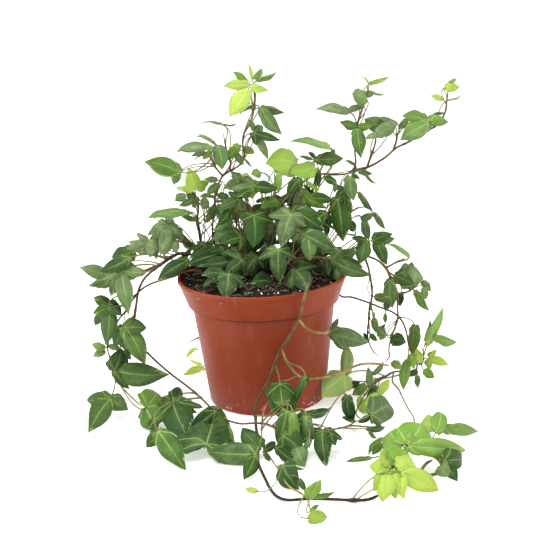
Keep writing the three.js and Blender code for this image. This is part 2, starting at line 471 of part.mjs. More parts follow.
// Leaves near the surface that the pot stands on, with the height above it in place of the back value.
const LOW_LEAVES = {
  stem_outer_trail: [
    [-114, 3, 14, -131, -21, 4, 0, 0.25, 0.45], [-88, -4, 12, -78, 9, 14, 10, 0.45, 0.72],
    [-89, -5, 11, -84, -22, 4, 15, 0.35, 0.76], [-114.7, 3.6, 13, -131.3, 3.4, 12, 0, 0.3, 0.89],
    [-114.4, 3.8, 13, -102.7, -5.4, 9, 0, 0.28, 0.75],
  ],
  stem_left_trail: [
    [-69, -3, 16, -60, -30, 5, 0, 0.12, 1.09], [-69, -1, 17, -61, 9, 20, 20, 0.1, 0.72],
    [-70, -2, 16, -77, 4, 16, 20, 0.1, 0.62], [-81, -24, 16, -64, -54, 3, 0, 0.3, 0.41],
    [-47.1, -35.8, 9, -35.8, -4.1, 17, 0, 0.12, 0.98], [-39, -10, 22, -60, -27, 10, 0, 0.05, 0.45],
    [-33, -22, 10, -27, -37, 3, 30, 0.35, 0.48], [57, -4, 26, 61, -25, 5, 20, 0.05, 0.45],
    [61, -24, 8, 52, -18, 8, 50, 0.25, 0.4], [74, -19, 14, 92, -12, 12, 0, 0.08, 0.78],
    [74, -20, 13, 64, -25, 9, 10, 0.1, 0.48], [71, -30, 7, 85, -31, 4, 50, 0.2, 0.44],
    [72, -32, 5, 77, -38, 2, 30, 0.3, 0.52], [38, -30, 14, 40, -57, 2, 0, 0.05, 0.95],
    [26, -15, 22, 16, -25, 12, 20, 0.15, 0.6], [27, -18, 24, 27, -43, 4, 30, 0.25, 0.52],
    [28, -16, 16, 47, -14, 12, 40, 0.15, 0.4], [20, -20, 22, 21, -41, 4, 20, 0.12, 0.56],
    [28, -36, 12, 23, -50, 3, 50, 0.3, 0.67], [-81.3, -24.3, 14, -90.6, -35.9, 7, 0, 0.35, 0.78],
    [-69.6, -3.2, 16, -80.3, -5.7, 13, 0, 0.12, 0.68], [-68.7, -3.2, 16, -51.9, -10.8, 10, 0, 0.12, 1],
    [9.2, -32.2, 12, 23.3, -46.4, 6, 0, 0.12, 0.85], [18.3, -42.9, 8, 24.3, -57.5, 4, 0, 0.15, 0.62],
    [44.3, -32.6, 14, 47.6, -42.2, 10, 0, 0.05, 0.62],
  ],
  stem_front_trail: [
    [-8, -40, 8, -20, -24, 16, 0, 0.1, 0.76], [-11, -45, 8, -47, -41, 8, 10, 0.15, 0.58],
    [-12, -47, 8, -21, -65, 2, 0, 0.15, 0.46], [10, -8, 26, 9, 8, 32, 0, 0.15, 0.6],
    [9, 8, 30, 9, -21, 14, 0, 0.1, 0.82], [27, 12, 34, 16, -12, 16, 40, 0.2, 0.36],
    [28, 8, 30, 29, 15, 35, 20, 0.2, 0.48], [86, -62, 18, 71, -59, 16, 10, 0.85, 0.85],
    [86, -65, 17, 80, -89, 5, 0, 0.85, 0.75], [90, -60, 19, 100, -48, 20, 10, 0.6, 0.82],
    [94, -66, 17, 124, -83, 4, 0, 0.93, 0.55],
  ],
  stem_pale_runner: [
    [13, -13, 26, 5, -41, 4, 10, 0.25, 0.52], [17, -15, 26, 16, -44, 5, 10, 0.4, 0.36],
    [-5, -43, 9, 5, -37, 10, 30, 0.15, 0.56], [-5, -45, 8, -1, -52, 4, 20, 0.12, 0.56],
    [4, -41, 8, 19, -55, 2, 20, 0.12, 0.48], [8.2, -55.8, 12, 18.5, -73.9, 3, 0, 0.14, 0.99],
    [20, -67, 8, 24, -77, 2, 20, 0.2, 0.52], [14, -56, 10, 24, -60, 6, 40, 0.5, 0.32],
    [26, -82, 6, 36, -69, 16, 20, 0.65, 0.85], [30, -82, 5, 45, -80, 8, 30, 0.5, 0.36],
    [27, -93, 5, 34, -88, 8, 10, 0.6, 0.48], [26, -98.9, 5, 40.5, -98.7, 3, 10, 0.78, 0.89],
    [-12, -75, 4, -21, -72, 4, 20, 0.9, 0.56],
  ],
  stem_lower_right: [
    [96, -44, 22, 85, -31, 22, 10, 0.5, 0.89], [99, -44, 22, 110, -26, 24, 0, 0.6, 0.75],
    [101, -45, 22, 146, -51, 10, 0, 0.6, 0.3], [82, -38, 12, 70, -50, 4, 45, 0.35, 0.36],
    [82, -43, 10, 85, -52, 3, 30, 0.1, 0.4], [86, -64, 17, 74, -79, 10, 0, 0.82, 0.75],
    [87, -65, 17, 90, -86, 6, 10, 0.9, 0.68], [86, -60, 19, 84, -46, 24, 34, 0.85, 0.78],
    [93, -64, 17, 96, -86, 7, 20, 0.95, 0.53], [95, -65, 18, 108, -58, 14, 0, 0.9, 0.82],
    [72, -53, 6, 53, -54, 4, 40, 0.35, 0.32], [117.3, -30.3, 16, 108.6, -25.1, 14, 0, 0.7, 0.75],
    [81.2, -42.4, 14, 73.7, -50.7, 8, 0, 0.35, 0.62],
  ],
  stem_curl: [
    [121, -35, 18, 125, -17, 26, 20, 0.55, 0.55], [127, -33, 16, 153, -38, 10, 20, 0.5, 0.43],
    [126, -58, 12, 143, -58, 6, 10, 0.2, 0.75], [127, -60, 10, 136, -75, 3, 10, 0.2, 0.62],
  ],
};

// half of a blade's outline for a leaf of length 1: across from the midrib, and along it from root to tip
const HALF_OUTLINE = [
  [0, 0],
  [0.2, -0.12],
  [0.44, 0.12],
  [0.36, 0.3],
  [0.22, 0.42],
  [0.2, 0.62],
  [0, 1],
];
const OUTLINE_MIDDLE = new THREE.Vector2(0, 0.3);

const COLOURS = {
  pot: 0xb4573b,
  soil: 0x2b1d16,
  stem: 0x4a3328,
  paleStem: 0xb59f7c,
  oldLeaf: 0x2f5535,
  youngLeaf: 0xa9cf3c,
};

function material(colour, roughness) {
  return new THREE.MeshStandardMaterial({ color: colour, roughness, metalness: 0 });
}

function leafMaterial(youth) {
  const colour = new THREE.Color(COLOURS.oldLeaf).lerp(new THREE.Color(COLOURS.youngLeaf), youth);
  return material(colour, 0.45);
}

// joining and cutting

function solid(geometry) {
  const bare = geometry.clone();
  bare.deleteAttribute("normal");
  bare.deleteAttribute("uv");
  const merged = mergeVertices(bare);
  const mesh = new wasm.Mesh({
    numProp: 3,
    vertProperties: Float32Array.from(merged.attributes.position.array),
    triVerts: Uint32Array.from(merged.index.array),
  });
  return new wasm.Manifold(mesh);
}

function joined(solids) {
  return wasm.Manifold.union(solids);
}

function largestBody(shape) {
  const bodies = shape.decompose();
  return bodies.reduce((largest, body) => (body.volume() > largest.volume() ? body : largest));
}

function namedMesh(name, shape, surface) {
  const mesh = shape.getMesh();
  const geometry = new THREE.BufferGeometry();
  geometry.setAttribute("position", new THREE.BufferAttribute(mesh.vertProperties, 3));
  geometry.setIndex(new THREE.BufferAttribute(mesh.triVerts, 1));
  geometry.computeVertexNormals();
  const piece = new THREE.Mesh(geometry, surface);
  piece.name = name;
  return piece;
}

// pot and compost

function lathe(profile) {
  const points = profile.map(([radius, height]) => new THREE.Vector2(radius, height));
  const geometry = new THREE.LatheGeometry(points, POT_SEGMENTS);
  geometry.rotateX(Math.PI / 2);
  return solid(geometry);
}

// the pot's outer wall from its foot to the lip, standing out from the real one by the given margin
function outerWall(margin) {
  const stepTop = POT_HEIGHT - BAND_HEIGHT;
  return [
    [BASE_RADIUS - BASE_CHAMFER + margin, -margin],
    [BASE_RADIUS + margin, BASE_CHAMFER - margin],
    [BODY_TOP_RADIUS + margin, stepTop - STEP_HEIGHT - margin],
    [BAND_FOOT_RADIUS + margin, stepTop - margin],
    [RIM_RADIUS - LIP_BULGE + margin, POT_HEIGHT - LIP_HEIGHT],
    [RIM_RADIUS + margin, POT_HEIGHT - LIP_HEIGHT / 2],
    [RIM_RADIUS - LIP_BULGE + margin, POT_HEIGHT + margin],
  ];
}

// the pot's inner wall from its lip to the floor, standing in from the real one by the given margin
function innerWall(margin) {
  const inset = WALL + margin;
  const stepTop = POT_HEIGHT - BAND_HEIGHT;
  return [
    [RIM_RADIUS - LIP_BULGE - inset, POT_HEIGHT + margin],
    [RIM_RADIUS - LIP_BULGE - inset, POT_HEIGHT - LIP_HEIGHT],
    [BAND_FOOT_RADIUS - inset, stepTop + inset],
    [BODY_TOP_RADIUS - inset, stepTop - STEP_HEIGHT + inset],
    [BASE_RADIUS - inset, FLOOR + margin],
  ];
}

function potShape() {
  const shell = lathe([[0, 0], ...outerWall(0), ...innerWall(0), [0, FLOOR]]);
  const holes = [];
  for (let number = 0; number < DRAIN_HOLES; number += 1) {
    const angle = (2 * Math.PI * number) / DRAIN_HOLES;
    const radius = DRAIN_HOLE_RADIUS;
    const hole = new THREE.CylinderGeometry(radius, radius, 4 * FLOOR, DRAIN_HOLE_SIDES);
    hole.rotateX(Math.PI / 2);
    hole.translate(DRAIN_RING_RADIUS * Math.cos(angle), DRAIN_RING_RADIUS * Math.sin(angle), 0);
    holes.push(solid(hole));
  }
  return shell.subtract(joined(holes));
}

function filledPot(margin) {
  return lathe([[0, -margin], ...outerWall(margin), [RIM_RADIUS / 2, POT_HEIGHT], [0, SOIL_MIDDLE_HEIGHT]]);
}

// the compost, which follows the pot's inner wall and is heaped a little in the middle
function soilShape() {
  const wall = innerWall(GAP);
  const bandTop = wall[1];
  const bandFoot = wall[2];
  const share = (SOIL_EDGE_HEIGHT - bandFoot[1]) / (bandTop[1] - bandFoot[1]);
  const edgeRadius = THREE.MathUtils.lerp(bandFoot[0], bandTop[0], share);
  return lathe([
    [0, FLOOR + GAP],
    ...wall.slice(2).reverse(),
    [edgeRadius, SOIL_EDGE_HEIGHT],
    [0.7 * edgeRadius, SOIL_MIDDLE_HEIGHT],
    [0, SOIL_MIDDLE_HEIGHT],
  ]);
}

// the plant's points

function placed([across, up, back, least], usual) {
  const lowest = least ?? usual;
  let stretch = 1 + back / EYE_DISTANCE;
  if (EYE_HEIGHT + (up - EYE_HEIGHT) * stretch < lowest) {
    stretch = (EYE_HEIGHT - lowest) / (EYE_HEIGHT - up);
  }
  return alongSight(across, up, stretch);
}

function placedAtHeight([across, up, height]) {
  return alongSight(across, up, (EYE_HEIGHT - height) / (EYE_HEIGHT - up));
}

function alongSight(across, up, stretch) {
  const back = (stretch - 1) * EYE_DISTANCE;
  return new THREE.Vector3(across * stretch, back, EYE_HEIGHT + (up - EYE_HEIGHT) * stretch);
}

// stems

function tube(path, rootRadius, tipRadius, sides, rings) {
  const corners = [];
  for (let corner = 0; corner < sides; corner += 1) {
    const angle = (2 * Math.PI * corner) / sides;
    corners.push(new THREE.Vector2(Math.cos(angle), Math.sin(angle)));
  }
  const section = new THREE.Shape(corners);
  const sweep = { steps: rings, bevelEnabled: false, extrudePath: path };
  const geometry = new THREE.ExtrudeGeometry(section, sweep);
  const centres = path.getSpacedPoints(rings);
  const position = geometry.attributes.position;
  const corner = new THREE.Vector3();
  for (let index = 0; index < position.count; index += 1) {
    corner.fromBufferAttribute(position, index);
    const distances = centres.map((centre) => centre.distanceTo(corner));
    const ring = distances.indexOf(Math.min(...distances));
    const radius = THREE.MathUtils.lerp(rootRadius, tipRadius, ring / rings);
    corner.sub(centres[ring]).setLength(radius).add(centres[ring]);
    position.setXYZ(index, corner.x, corner.y, corner.z);
  }
  return solid(geometry);
}

function ringsOf(path) {
  return Math.ceil(path.getLength() / STEM_RING_SPACING);
}

// the middle lines of the tubes that follow the given paths, as straight pieces from root to tip
function middleLines(paths) {
  return paths.map((path) => {
    const centres = path.getSpacedPoints(ringsOf(path));
    return centres.slice(1).map((centre, index) => new THREE.Line3(centres[index], centre));
  });
}

// the point on those lines that is nearest to the target, with its line and the pieces that lead up to it
function nearestSpot(paths, target) {
  const spots = middleLines(paths).flatMap((line) => {
    return line.map((piece, index) => {
      const point = piece.closestPointToPoint(target, true, new THREE.Vector3());
      return { point, line: line.slice(0, index + 1), distance: point.distanceTo(target) };
    });
  });
  return spots.reduce((nearest, spot) => (spot.distance < nearest.distance ? spot : nearest));
}

// a side shoot starts on the line of the stem that bears it
function stemPaths(stem, parentPaths) {
  const paths = [];
  for (const route of stem.routes) {
    const points = route.map((point) => placed(point, STEM_LOWEST));
    const bearers = [...parentPaths, ...paths];
    if (bearers.length > 0) {
      points[0] = nearestSpot(bearers, points[0]).point;
    }
    paths.push(new THREE.CatmullRomCurve3(points));
  }
  return paths;
}

function stemShape(stem, paths, margin) {
  const tubes = paths.map((path) => {
    return tube(path, stem.rootRadius + margin, stem.tipRadius + margin, STEM_SIDES, ringsOf(path));
  });
  return joined(tubes);
}

// leaves

function leafOf(stemName, root, tip, turn, youth, width) {
  const midrib = tip.clone().sub(root);
  const length = midrib.length();
  midrib.normalize();
  const eye = new THREE.Vector3(0, -EYE_DISTANCE, EYE_HEIGHT);
  const towardsEye = eye.sub(root.clone().add(tip).multiplyScalar(0.5)).normalize();
  const facing = towardsEye.addScaledVector(midrib, -towardsEye.dot(midrib)).normalize();
  const angle = THREE.MathUtils.degToRad(turn);
  const face = facing.clone().multiplyScalar(Math.cos(angle));
  face.addScaledVector(midrib.clone().cross(facing), Math.sin(angle));
  const side = midrib.clone().cross(face);
  return rested({ stemName, root, length, midrib, face, side, youth, width });
}

// a leaf that would reach into the surface which the pot stands on is lifted until it rests on it
function rested(leaf) {
  const heights = HALF_OUTLINE.flatMap(([across, along]) => {
    return [-across, across].map((value) => bladePoint(leaf, value * leaf.width, along, 0).z);
  });
  leaf.root.z += Math.max(0, BLADE_LOWEST - Math.min(...heights));
  return leaf;
}

function allLeaves() {
  const leaves = [];
  for (const [stemName, rows] of Object.entries(LEAVES)) {
    for (const row of rows) {
      const root = placed(row.slice(0, 3), STEM_LOWEST);
      const tip = placed(row.slice(3, 6), BLADE_LOWEST);
      leaves.push(leafOf(stemName, root, tip, ...row.slice(6)));
    }
  }
  for (const [stemName, rows] of Object.entries(LOW_LEAVES)) {
    for (const row of rows) {
      const root = placedAtHeight(row.slice(0, 3));
      const tip = placedAtHeight(row.slice(3, 6));
      leaves.push(leafOf(stemName, root, tip, ...row.slice(6)));
    }
  }
  return leaves.sort((one, other) => other.length - one.length);
}

// the blade arches along its midrib and folds back at its sides
function bladePoint(leaf, across, along, above) {
  const lift = BLADE_ARCH * along * (1 - along) - BLADE_FOLD * across * across;
  const point = leaf.root.clone();
  point.addScaledVector(leaf.side, across * leaf.length);
  point.addScaledVector(leaf.midrib, along * leaf.length);
  return point.addScaledVector(leaf.face, lift * leaf.length + above);
}

function bladeShape(leaf, margin) {
  const spread = 1 + (2 * margin) / leaf.length;
  const corner = ([across, along]) => new THREE.Vector2(across * leaf.width, along);
  const right = HALF_OUTLINE.map(corner);
  const left = HALF_OUTLINE.slice(1, -1).reverse().map(([across, along]) => corner([-across, along]));
  const outline = [...right, ...left].map((point) => point.sub(OUTLINE_MIDDLE).multiplyScalar(spread));
  const shape = new THREE.Shape(outline.map((point) => point.add(OUTLINE_MIDDLE)));
  const geometry = new THREE.ExtrudeGeometry(shape, { depth: 1, steps: 1, bevelEnabled: false });
  const position = geometry.attributes.position;
  const thickness = BLADE_THICKNESS + 2 * margin;
  for (let index = 0; index < position.count; index += 1) {
    const above = (position.getZ(index) - 0.5) * thickness;
    const point = bladePoint(leaf, position.getX(index), position.getY(index), above);
    position.setXYZ(index, point.x, point.y, point.z);
  }
  return solid(geometry);
}

// a stalk springs from its stem some way towards the stem's root from the point nearest to the blade
function stalkStart(leaf, paths) {
  const { point, line, distance } = nearestSpot(paths, leaf.root);
  let left = STALK_SLANT * distance + STALK_LEAST;
  let from = point;
  for (const piece of line.toReversed()) {
    const run = from.distanceTo(piece.start);
    if (run > left) {
      return from.clone().lerp(piece.start, left / run);
    }
    left -= run;
    from = piece.start;
  }
  return from.clone();
}

function stalkShape(leaf, paths, margin) {
  const start = stalkStart(leaf, paths);
  const end = bladePoint(leaf, 0, STALK_OVERLAP, 0);
  const reach = start.distanceTo(leaf.root);
  const bend = leaf.root.clone().addScaledVector(leaf.midrib, -STALK_BEND * reach);
  bend.z = Math.max(bend.z, STEM_LOWEST);
  const path = new THREE.QuadraticBezierCurve3(start, bend, end);
  const radius = STALK_RADIUS + margin;
  return tube(path, radius, radius, STALK_SIDES, STALK_RINGS);
}

function leafShape(leaf, paths, margin) {
  return bladeShape(leaf, margin).add(stalkShape(leaf, paths, margin));
}

// the whole plant in its pot

function buildStems() {
  const stems = [];
  for (const [name, stem] of Object.entries(STEMS)) {
    const parent = stems.find((earlier) => earlier.name === stem.parent);
    const paths = stemPaths(stem, parent ? parent.paths : []);
    stems.push({ name, paths, shape: stemShape(stem, paths, 0), clearance: stemShape(stem, paths, GAP) });
  }
  for (const stem of stems) {
    stem.others = joined(stems.filter((other) => other !== stem).map((other) => other.clearance));
  }
  return stems;
}

// The longest leaves that stand clear of everything else are pieces of their own, cut free at the foot of
// their stalks. The next ones that stand clear are joined to their stem.
function sortLeaves(stems) {
  const singles = [];
  let taken = filledPot(GAP);
  for (const leaf of allLeaves()) {
    const stem = stems.find((owner) => owner.name === leaf.stemName);
    const shape = leafShape(leaf, stem.paths, 0);
    const clear = shape.intersect(taken).isEmpty() && shape.intersect(stem.others).isEmpty();
    if (leaf.length < SHORTEST_LEAF || !clear) {
      continue;
    }
    taken = taken.add(leafShape(leaf, stem.paths, GAP));
    const bladeClear = bladeShape(leaf, 0).intersect(stem.clearance).isEmpty();
    if (singles.length < SINGLE_LEAVES && bladeClear) {
      singles.push({ leaf, shape: largestBody(shape.subtract(stem.clearance)) });
    } else {
      stem.shape = stem.shape.add(shape);
    }
  }
  return singles;
}

function buildPlant() {
  const stems = buildStems();
  const singles = sortLeaves(stems);
  const group = new THREE.Group();
  group.add(namedMesh("pot", potShape(), material(COLOURS.pot, 0.5)));
  const stemClearance = joined(stems.map((stem) => stem.clearance));
  const soil = largestBody(soilShape().subtract(stemClearance));
  group.add(namedMesh("potting_soil", soil, material(COLOURS.soil, 0.95)));

  stems.forEach((stem, index) => {
    const parents = stems.slice(0, index).map((earlier) => earlier.clearance);
    const shape = index > 0 ? stem.shape.subtract(joined(parents)) : stem.shape;
    const colour = stem.name === "stem_pale_runner" ? COLOURS.paleStem : COLOURS.stem;
    group.add(namedMesh(stem.name, largestBody(shape), material(colour, 0.7)));
  });

  const counts = {};
  for (const { leaf, shape } of singles) {
    counts[leaf.stemName] = (counts[leaf.stemName] ?? 0) + 1;
    const name = `${leaf.stemName.replace("stem", "leaf")}_${counts[leaf.stemName]}`;
    group.add(namedMesh(name, shape, leafMaterial(leaf.youth)));
  }
  return group;
}

export default buildPlant();
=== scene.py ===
"""A trailing ivy in a terracotta-coloured nursery pot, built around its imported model.

The pot stands on the surface, shoots stand up in its middle, and vines hang over its rim and lie in
loops in front of it. Lists and helpers work in millimetres in the frame of the model, and meshes are
written in metres.
"""

import json
import math
import random
from dataclasses import dataclass

import bmesh
import bpy
from mathutils import Matrix, Vector, noise
from mathutils.geometry import intersect_point_line

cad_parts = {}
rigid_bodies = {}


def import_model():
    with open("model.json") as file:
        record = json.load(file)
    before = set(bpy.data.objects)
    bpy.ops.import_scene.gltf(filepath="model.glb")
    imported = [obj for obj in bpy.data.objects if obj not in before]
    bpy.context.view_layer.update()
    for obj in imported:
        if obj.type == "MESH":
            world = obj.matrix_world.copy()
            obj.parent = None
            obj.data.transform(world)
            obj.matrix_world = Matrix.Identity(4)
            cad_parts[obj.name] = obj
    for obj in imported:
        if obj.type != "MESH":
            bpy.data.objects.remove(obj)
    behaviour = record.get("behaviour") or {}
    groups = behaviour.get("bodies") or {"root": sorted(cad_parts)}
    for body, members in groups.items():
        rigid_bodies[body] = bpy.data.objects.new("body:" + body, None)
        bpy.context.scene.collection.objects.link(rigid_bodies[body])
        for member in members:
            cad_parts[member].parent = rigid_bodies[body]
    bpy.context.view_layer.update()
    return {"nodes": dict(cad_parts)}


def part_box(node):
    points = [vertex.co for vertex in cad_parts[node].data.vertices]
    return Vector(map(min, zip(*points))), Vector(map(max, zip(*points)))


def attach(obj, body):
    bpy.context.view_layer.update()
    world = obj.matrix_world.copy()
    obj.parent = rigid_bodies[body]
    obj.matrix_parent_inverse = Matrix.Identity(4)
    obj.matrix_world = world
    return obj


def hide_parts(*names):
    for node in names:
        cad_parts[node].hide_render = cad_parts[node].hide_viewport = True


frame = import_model()

bl_info = {
    "name": "Potted ivy",
    "version": (1, 0, 0),
    "blender": (4, 5, 0),
    "location": "View3D > Sidebar > Potted ivy",
    "description": "Makes the pot, compost, stems and leaves of a potted ivy around its packed model",
    "category": "Object",
}

MM = 0.001
BODY = "root"

# The pot, in mm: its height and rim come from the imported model.
POT_LOW, POT_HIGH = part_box("pot")
POT_HEIGHT = POT_HIGH.z / MM
RIM_RADIUS = POT_HIGH.x / MM
BASE_RADIUS = 41.4
BASE_CHAMFER = 1.2
WALL = 1.3
FLOOR = 1.6
BAND_HEIGHT = 18
BAND_FOOT_RADIUS = 54
STEP_HEIGHT = 3.5
BODY_TOP_RADIUS = 50.2
LIP_HEIGHT = 2.6
LIP_BULGE = 0.6
DRAIN_HOLES = 6
DRAIN_HOLE_RADIUS = 4
DRAIN_RING_RADIUS = 32
POT_SIDES = 144

# The compost, in mm: its heights, its gap to the pot's wall, its rings and sides, and how close its lumps
# lie. Then how many of each kind of bit are made, and the tints at which the bits' colours change.
SOIL_EDGE_HEIGHT = 88
SOIL_MIDDLE_HEIGHT = 90
SOIL_GAP = 0.4
SOIL_RINGS = 44
SOIL_SIDES = 160
COARSE_LUMPS = 0.11
FINE_LUMPS = 0.42
BIT_KINDS = ["chip"] * 10 + ["fibre"] * 7 + ["grain"]
BIT_TINTS = (0, 0.45, 0.72, 0.86, 0.95)

# Where the plant's points are given from, in mm: an eye in front of the pot. A point's across and up
# values are where its line of sight crosses the upright plane through the pot's axis, and its back value
# is how far it lies behind that plane. A point that would lie too low slides forward along its line of
# sight until it is high enough.
EYE_DISTANCE = 1000
EYE_HEIGHT = 379
STEM_LOWEST = 1.9
BLADE_LOWEST = 0.8


def table(text):
    """The rows of numbers of a text. A comma or a line's end stands after each row."""
    rows = text.replace("\n", ",").split(",")
    return [[float(value) for value in row.split()] for row in rows if row.strip()]


def vine(thick, routes, pale=(0, 0.4, 0.25), rootlets=0.06, parent=None):
    """A stem: its radius at its root and tip, and its routes with a semicolon between them, the main one
    first, as points of across, up and back, and the least height where it lies over the surface. Then how
    pale its bark is at its root, at its tip and on its side shoots, the share of its points that have a
    rootlet, and the stem that a runner springs from."""
    routes = [table(route) for route in routes.split(";")]
    return {"thick": thick, "routes": routes, "pale": pale, "rootlets": rootlets, "parent": parent}


STEMS = {
    "upper_left": vine((0.86, 0.5), """
        -23 90 12, -29 104 14, -33 118 15, -33 128 15, -31 138 13, -30 149 12, -27 158 12, -23 164 11
        -17 167 10, -11 171 9, -8 177 8, -9 185 7, -7 194 5, -2 202 3, 0 210 2, 1 218 1, -1 225 0;
        -24 163 11, -29 170 9, -32 177 7, -38 178 5, -44 175 3;
        -19 166 10, -18 172 9, -20 179 8, -21 186 7, -22 193 6
    """),
    "left_crown": vine((0.87, 0.54), """
        -30 93 26, -37 106 23, -42 118 20, -43 126 18, -44 132 16, -42 140 13, -42 149 9;
        -38 108 22, -45 112 15, -51 117 9, -58 124 4
    """),
    "middle_crown": vine((1.12, 0.61), """
        5 92 14, 5 106 13, 5 118 10, 4 128 8, 6 137 6, 10 146 4, 13 155 3, 14 162 2;
        5 120 10, -3 130 8, -8 140 6, -7 150 3
    """),
    "inner_crown": vine((0.81, 0.54), """
        -11 89 4, -13 103 6, -13 118 5, -15 132 4, -16 143 3
    """, pale=(0.2, 0.6, 0.5)),
    "right_crown": vine((0.87, 0.54), """
        26 92 18, 32 105 20, 33 120 18, 35 135 14, 37 147 11, 40 157 9, 42 166 8;
        33 122 18, 43 128 16, 52 136 12, 58 146 8, 62 156 5
    """),
    "front_crown": vine((0.74, 0.54), """
        12 84 -8, 14 96 -10, 13 106 -13;
        13 92 -9, 22 103 -8, 30 112 -8
    """, pale=(0.2, 0.8, 0.7)),
    "upper_right": vine((1.05, 0.5), """
        14 93 26, 17 110 30, 20 126 30, 22 138 28, 25 148 26, 33 157 25, 43 161 24, 54 160 23, 64 161 22
        68 166 21, 68 176 20, 69 187 18, 71 197 16, 74 205 14, 77 213 13, 79 221 13;
        66 162 21, 76 164 18, 88 170 14, 97 177 10, 106 181 8, 113 186 6, 121 189 5, 127 193 4, 131 201 3
        132 209 2, 133 216 2;
        76 164 18, 79 172 15, 82 180 12, 83 186 9;
        95 175 11, 97 183 10, 97 191 9
    """),
    "left_trail": vine((0.99, 0.54), """
        -34 93 4, -45 106 2, -57 109 0, -66 105 -3, -72 101 -5, -79 96 -7, -84 91 -8, -88 83 -9
        -90 74 -8, -92 65 -6, -94 55 -2, -91 45 2, -84 36 5, -77 28 5, -68 19 4, -58 10 0 14, -50 2 0 12
        -44 -5 0 13, -37 -14 0 14, -30 -18 0 13, -21 -21 0 12, -12 -21 0 11, -3 -22 0 10, 3 -25 0 10
        10 -26 0 10, 20 -28 0 10, 30 -29 0 9, 38 -29 0 8, 46 -29 0 7, 53 -28 0 6, 60 -27 0 5
        68 -28 0 3.5, 75 -29 0, 83 -31 0
    """),
    "outer_trail": vine((0.81, 0.5), """
        -34 86 -12, -46 96 -10, -57 95 -7, -65 92 -5, -72 90 -2, -79 88 0, -86 84 2, -92 78 2, -97 70 2
        -104 62 2, -110 52 3, -113 42 4, -112 36 4, -111 30 2, -109 22 0, -106 14 -4, -102 8 -8
        -97 2 -14, -92 -3 -20
    """),
    "front_trail": vine((1, 0.98), """
        35 87 6, 35 86 -10, 33 83 -32, 31 79 -53, 29 72 -58, 27 64 -57, 25 58 -52, 22 52 -50, 16 42 -50
        11 35 -50, 5 22 -51, 0 10 -53, -6 0 -55, -10 -9 -58, -10 -17 -63, -10 -25 -72, -9 -35 0 3
        -10 -46 0 4, -10 -52 0 5, -8 -58 0 5, -5 -66 0 4, -1 -75 0 3, 3 -80 0, 10 -83 0, 25 -83 0
        40 -84 0, 60 -86 0, 70 -86 0, 79 -82.5 0;
        11 35 -50, 14 26 -51, 18 19 -51, 22 14 -50, 28 11 -48, 36 11 -45, 45 12 -38, 52 14 -31, 59 17 -24
        67 20 -17, 78 20 -11, 88 18 -6;
        25 56 -51, 30 49 -51, 36 46 -49, 42 45 -43, 46 46 -33
    """, pale=(1, -0.3, 0.95), rootlets=0.35),
    "pale_runner": vine((0.62, 0.54), """
        22 14 -50, 15 11 -55, 8 9 -57, 3 1 -60, -2 -8 -64, -5 -17 -69, -6 -26 -79, -6 -38 0 4, -3 -45 0 5
        0 -50 0 5, 4 -57 0 6, 8 -65 0 6, 11 -71 0 6, 15 -75 0 6, 20 -78 0 6, 25 -83 0 5, 26 -88 0 4
        27 -93 0 3
    """, pale=(0.8, 0.9, 0.9), parent="front_trail"),
    "right": vine((0.99, 0.54), """
        34 94 12, 45 103 9, 56 105 6, 63 105 5, 68 104 4, 73 101 3, 80 98 2, 85 94 2, 88 90 2, 90 85 2
        92 79 3, 95 73 3, 95 66 4, 95 60 4, 95 54 5, 93 47 5, 91 42 5, 89 36 4, 88 30 3, 88 24 2, 85 21 1;
        72 102 3, 75 92 -1, 76 85 -3, 77 78 -4, 77 71 -4, 75 62 -5, 74 52 -5, 73 42 -5, 74 36 -6
        77 29 -7, 81 25 -8;
        88 92 3, 95 95 5, 102 98 6;
        95 72 4, 103 73 5, 109 78 6
    """),
    "back_right": vine((0.87, 0.54), """
        12 98 34, 18 111 50, 27 112 65, 38 98 74, 48 82 74, 55 72 70, 62 71 62, 70 68 54, 77 65 45
        83 62 37, 88 60 31, 93 57 25, 98 51 20, 101 42 15, 102 35 12, 104 29 10, 107 23 8, 108 16 6
        104 11 5, 97 13 4, 91 13 2, 84 9 -5, 77 5 -15, 71 -2 -30, 66 -10 -45, 63 -18 -70, 66 -22 -84;
        107 19 6, 111 18 2, 113 26 0, 111 31 0
    """),
    "lower_right": vine((0.56, 0.5), """
        91 13 2, 90 6 -6, 94 0 -18, 97 -7 -38, 101 -16 -62, 105 -24 -84, 103 -34 -108, 99 -44 -130
        95 -52 -146, 90 -60 -160, 87 -65 -170
    """, pale=(0.3, 0.7, 0.6), parent="back_right"),
    "curl": vine((1.5, 0.9), """
        99 -44 -130, 105 -45 -132, 112 -49 -140, 119 -54 -148, 124 -58 -156, 125 -63 -162, 121 -68 -170
        114 -69 -172, 110 -66 -168, 113 -60 -160, 118 -57 -154
    """, pale=(0.6, 0.2, 0.3), parent="lower_right"),
    "back_crown": vine((0.87, 0.61), """
        -14 100 36, -17 115 40, -16 130 40, -12 142 40;
        -16 118 40, 0 128 44, 14 138 46, 22 146 44;
        -14 106 38, -2 112 46, 3 112 60, 5 101 71, 5 82 75, 3 62 78, -2 46 84, -9 37 94, -20 38 104
        -32 43 112, -44 47 112, -51 45 108, -56 42 103;
        -32 43 112, -37 36 90, -42 27 70
    """),
}

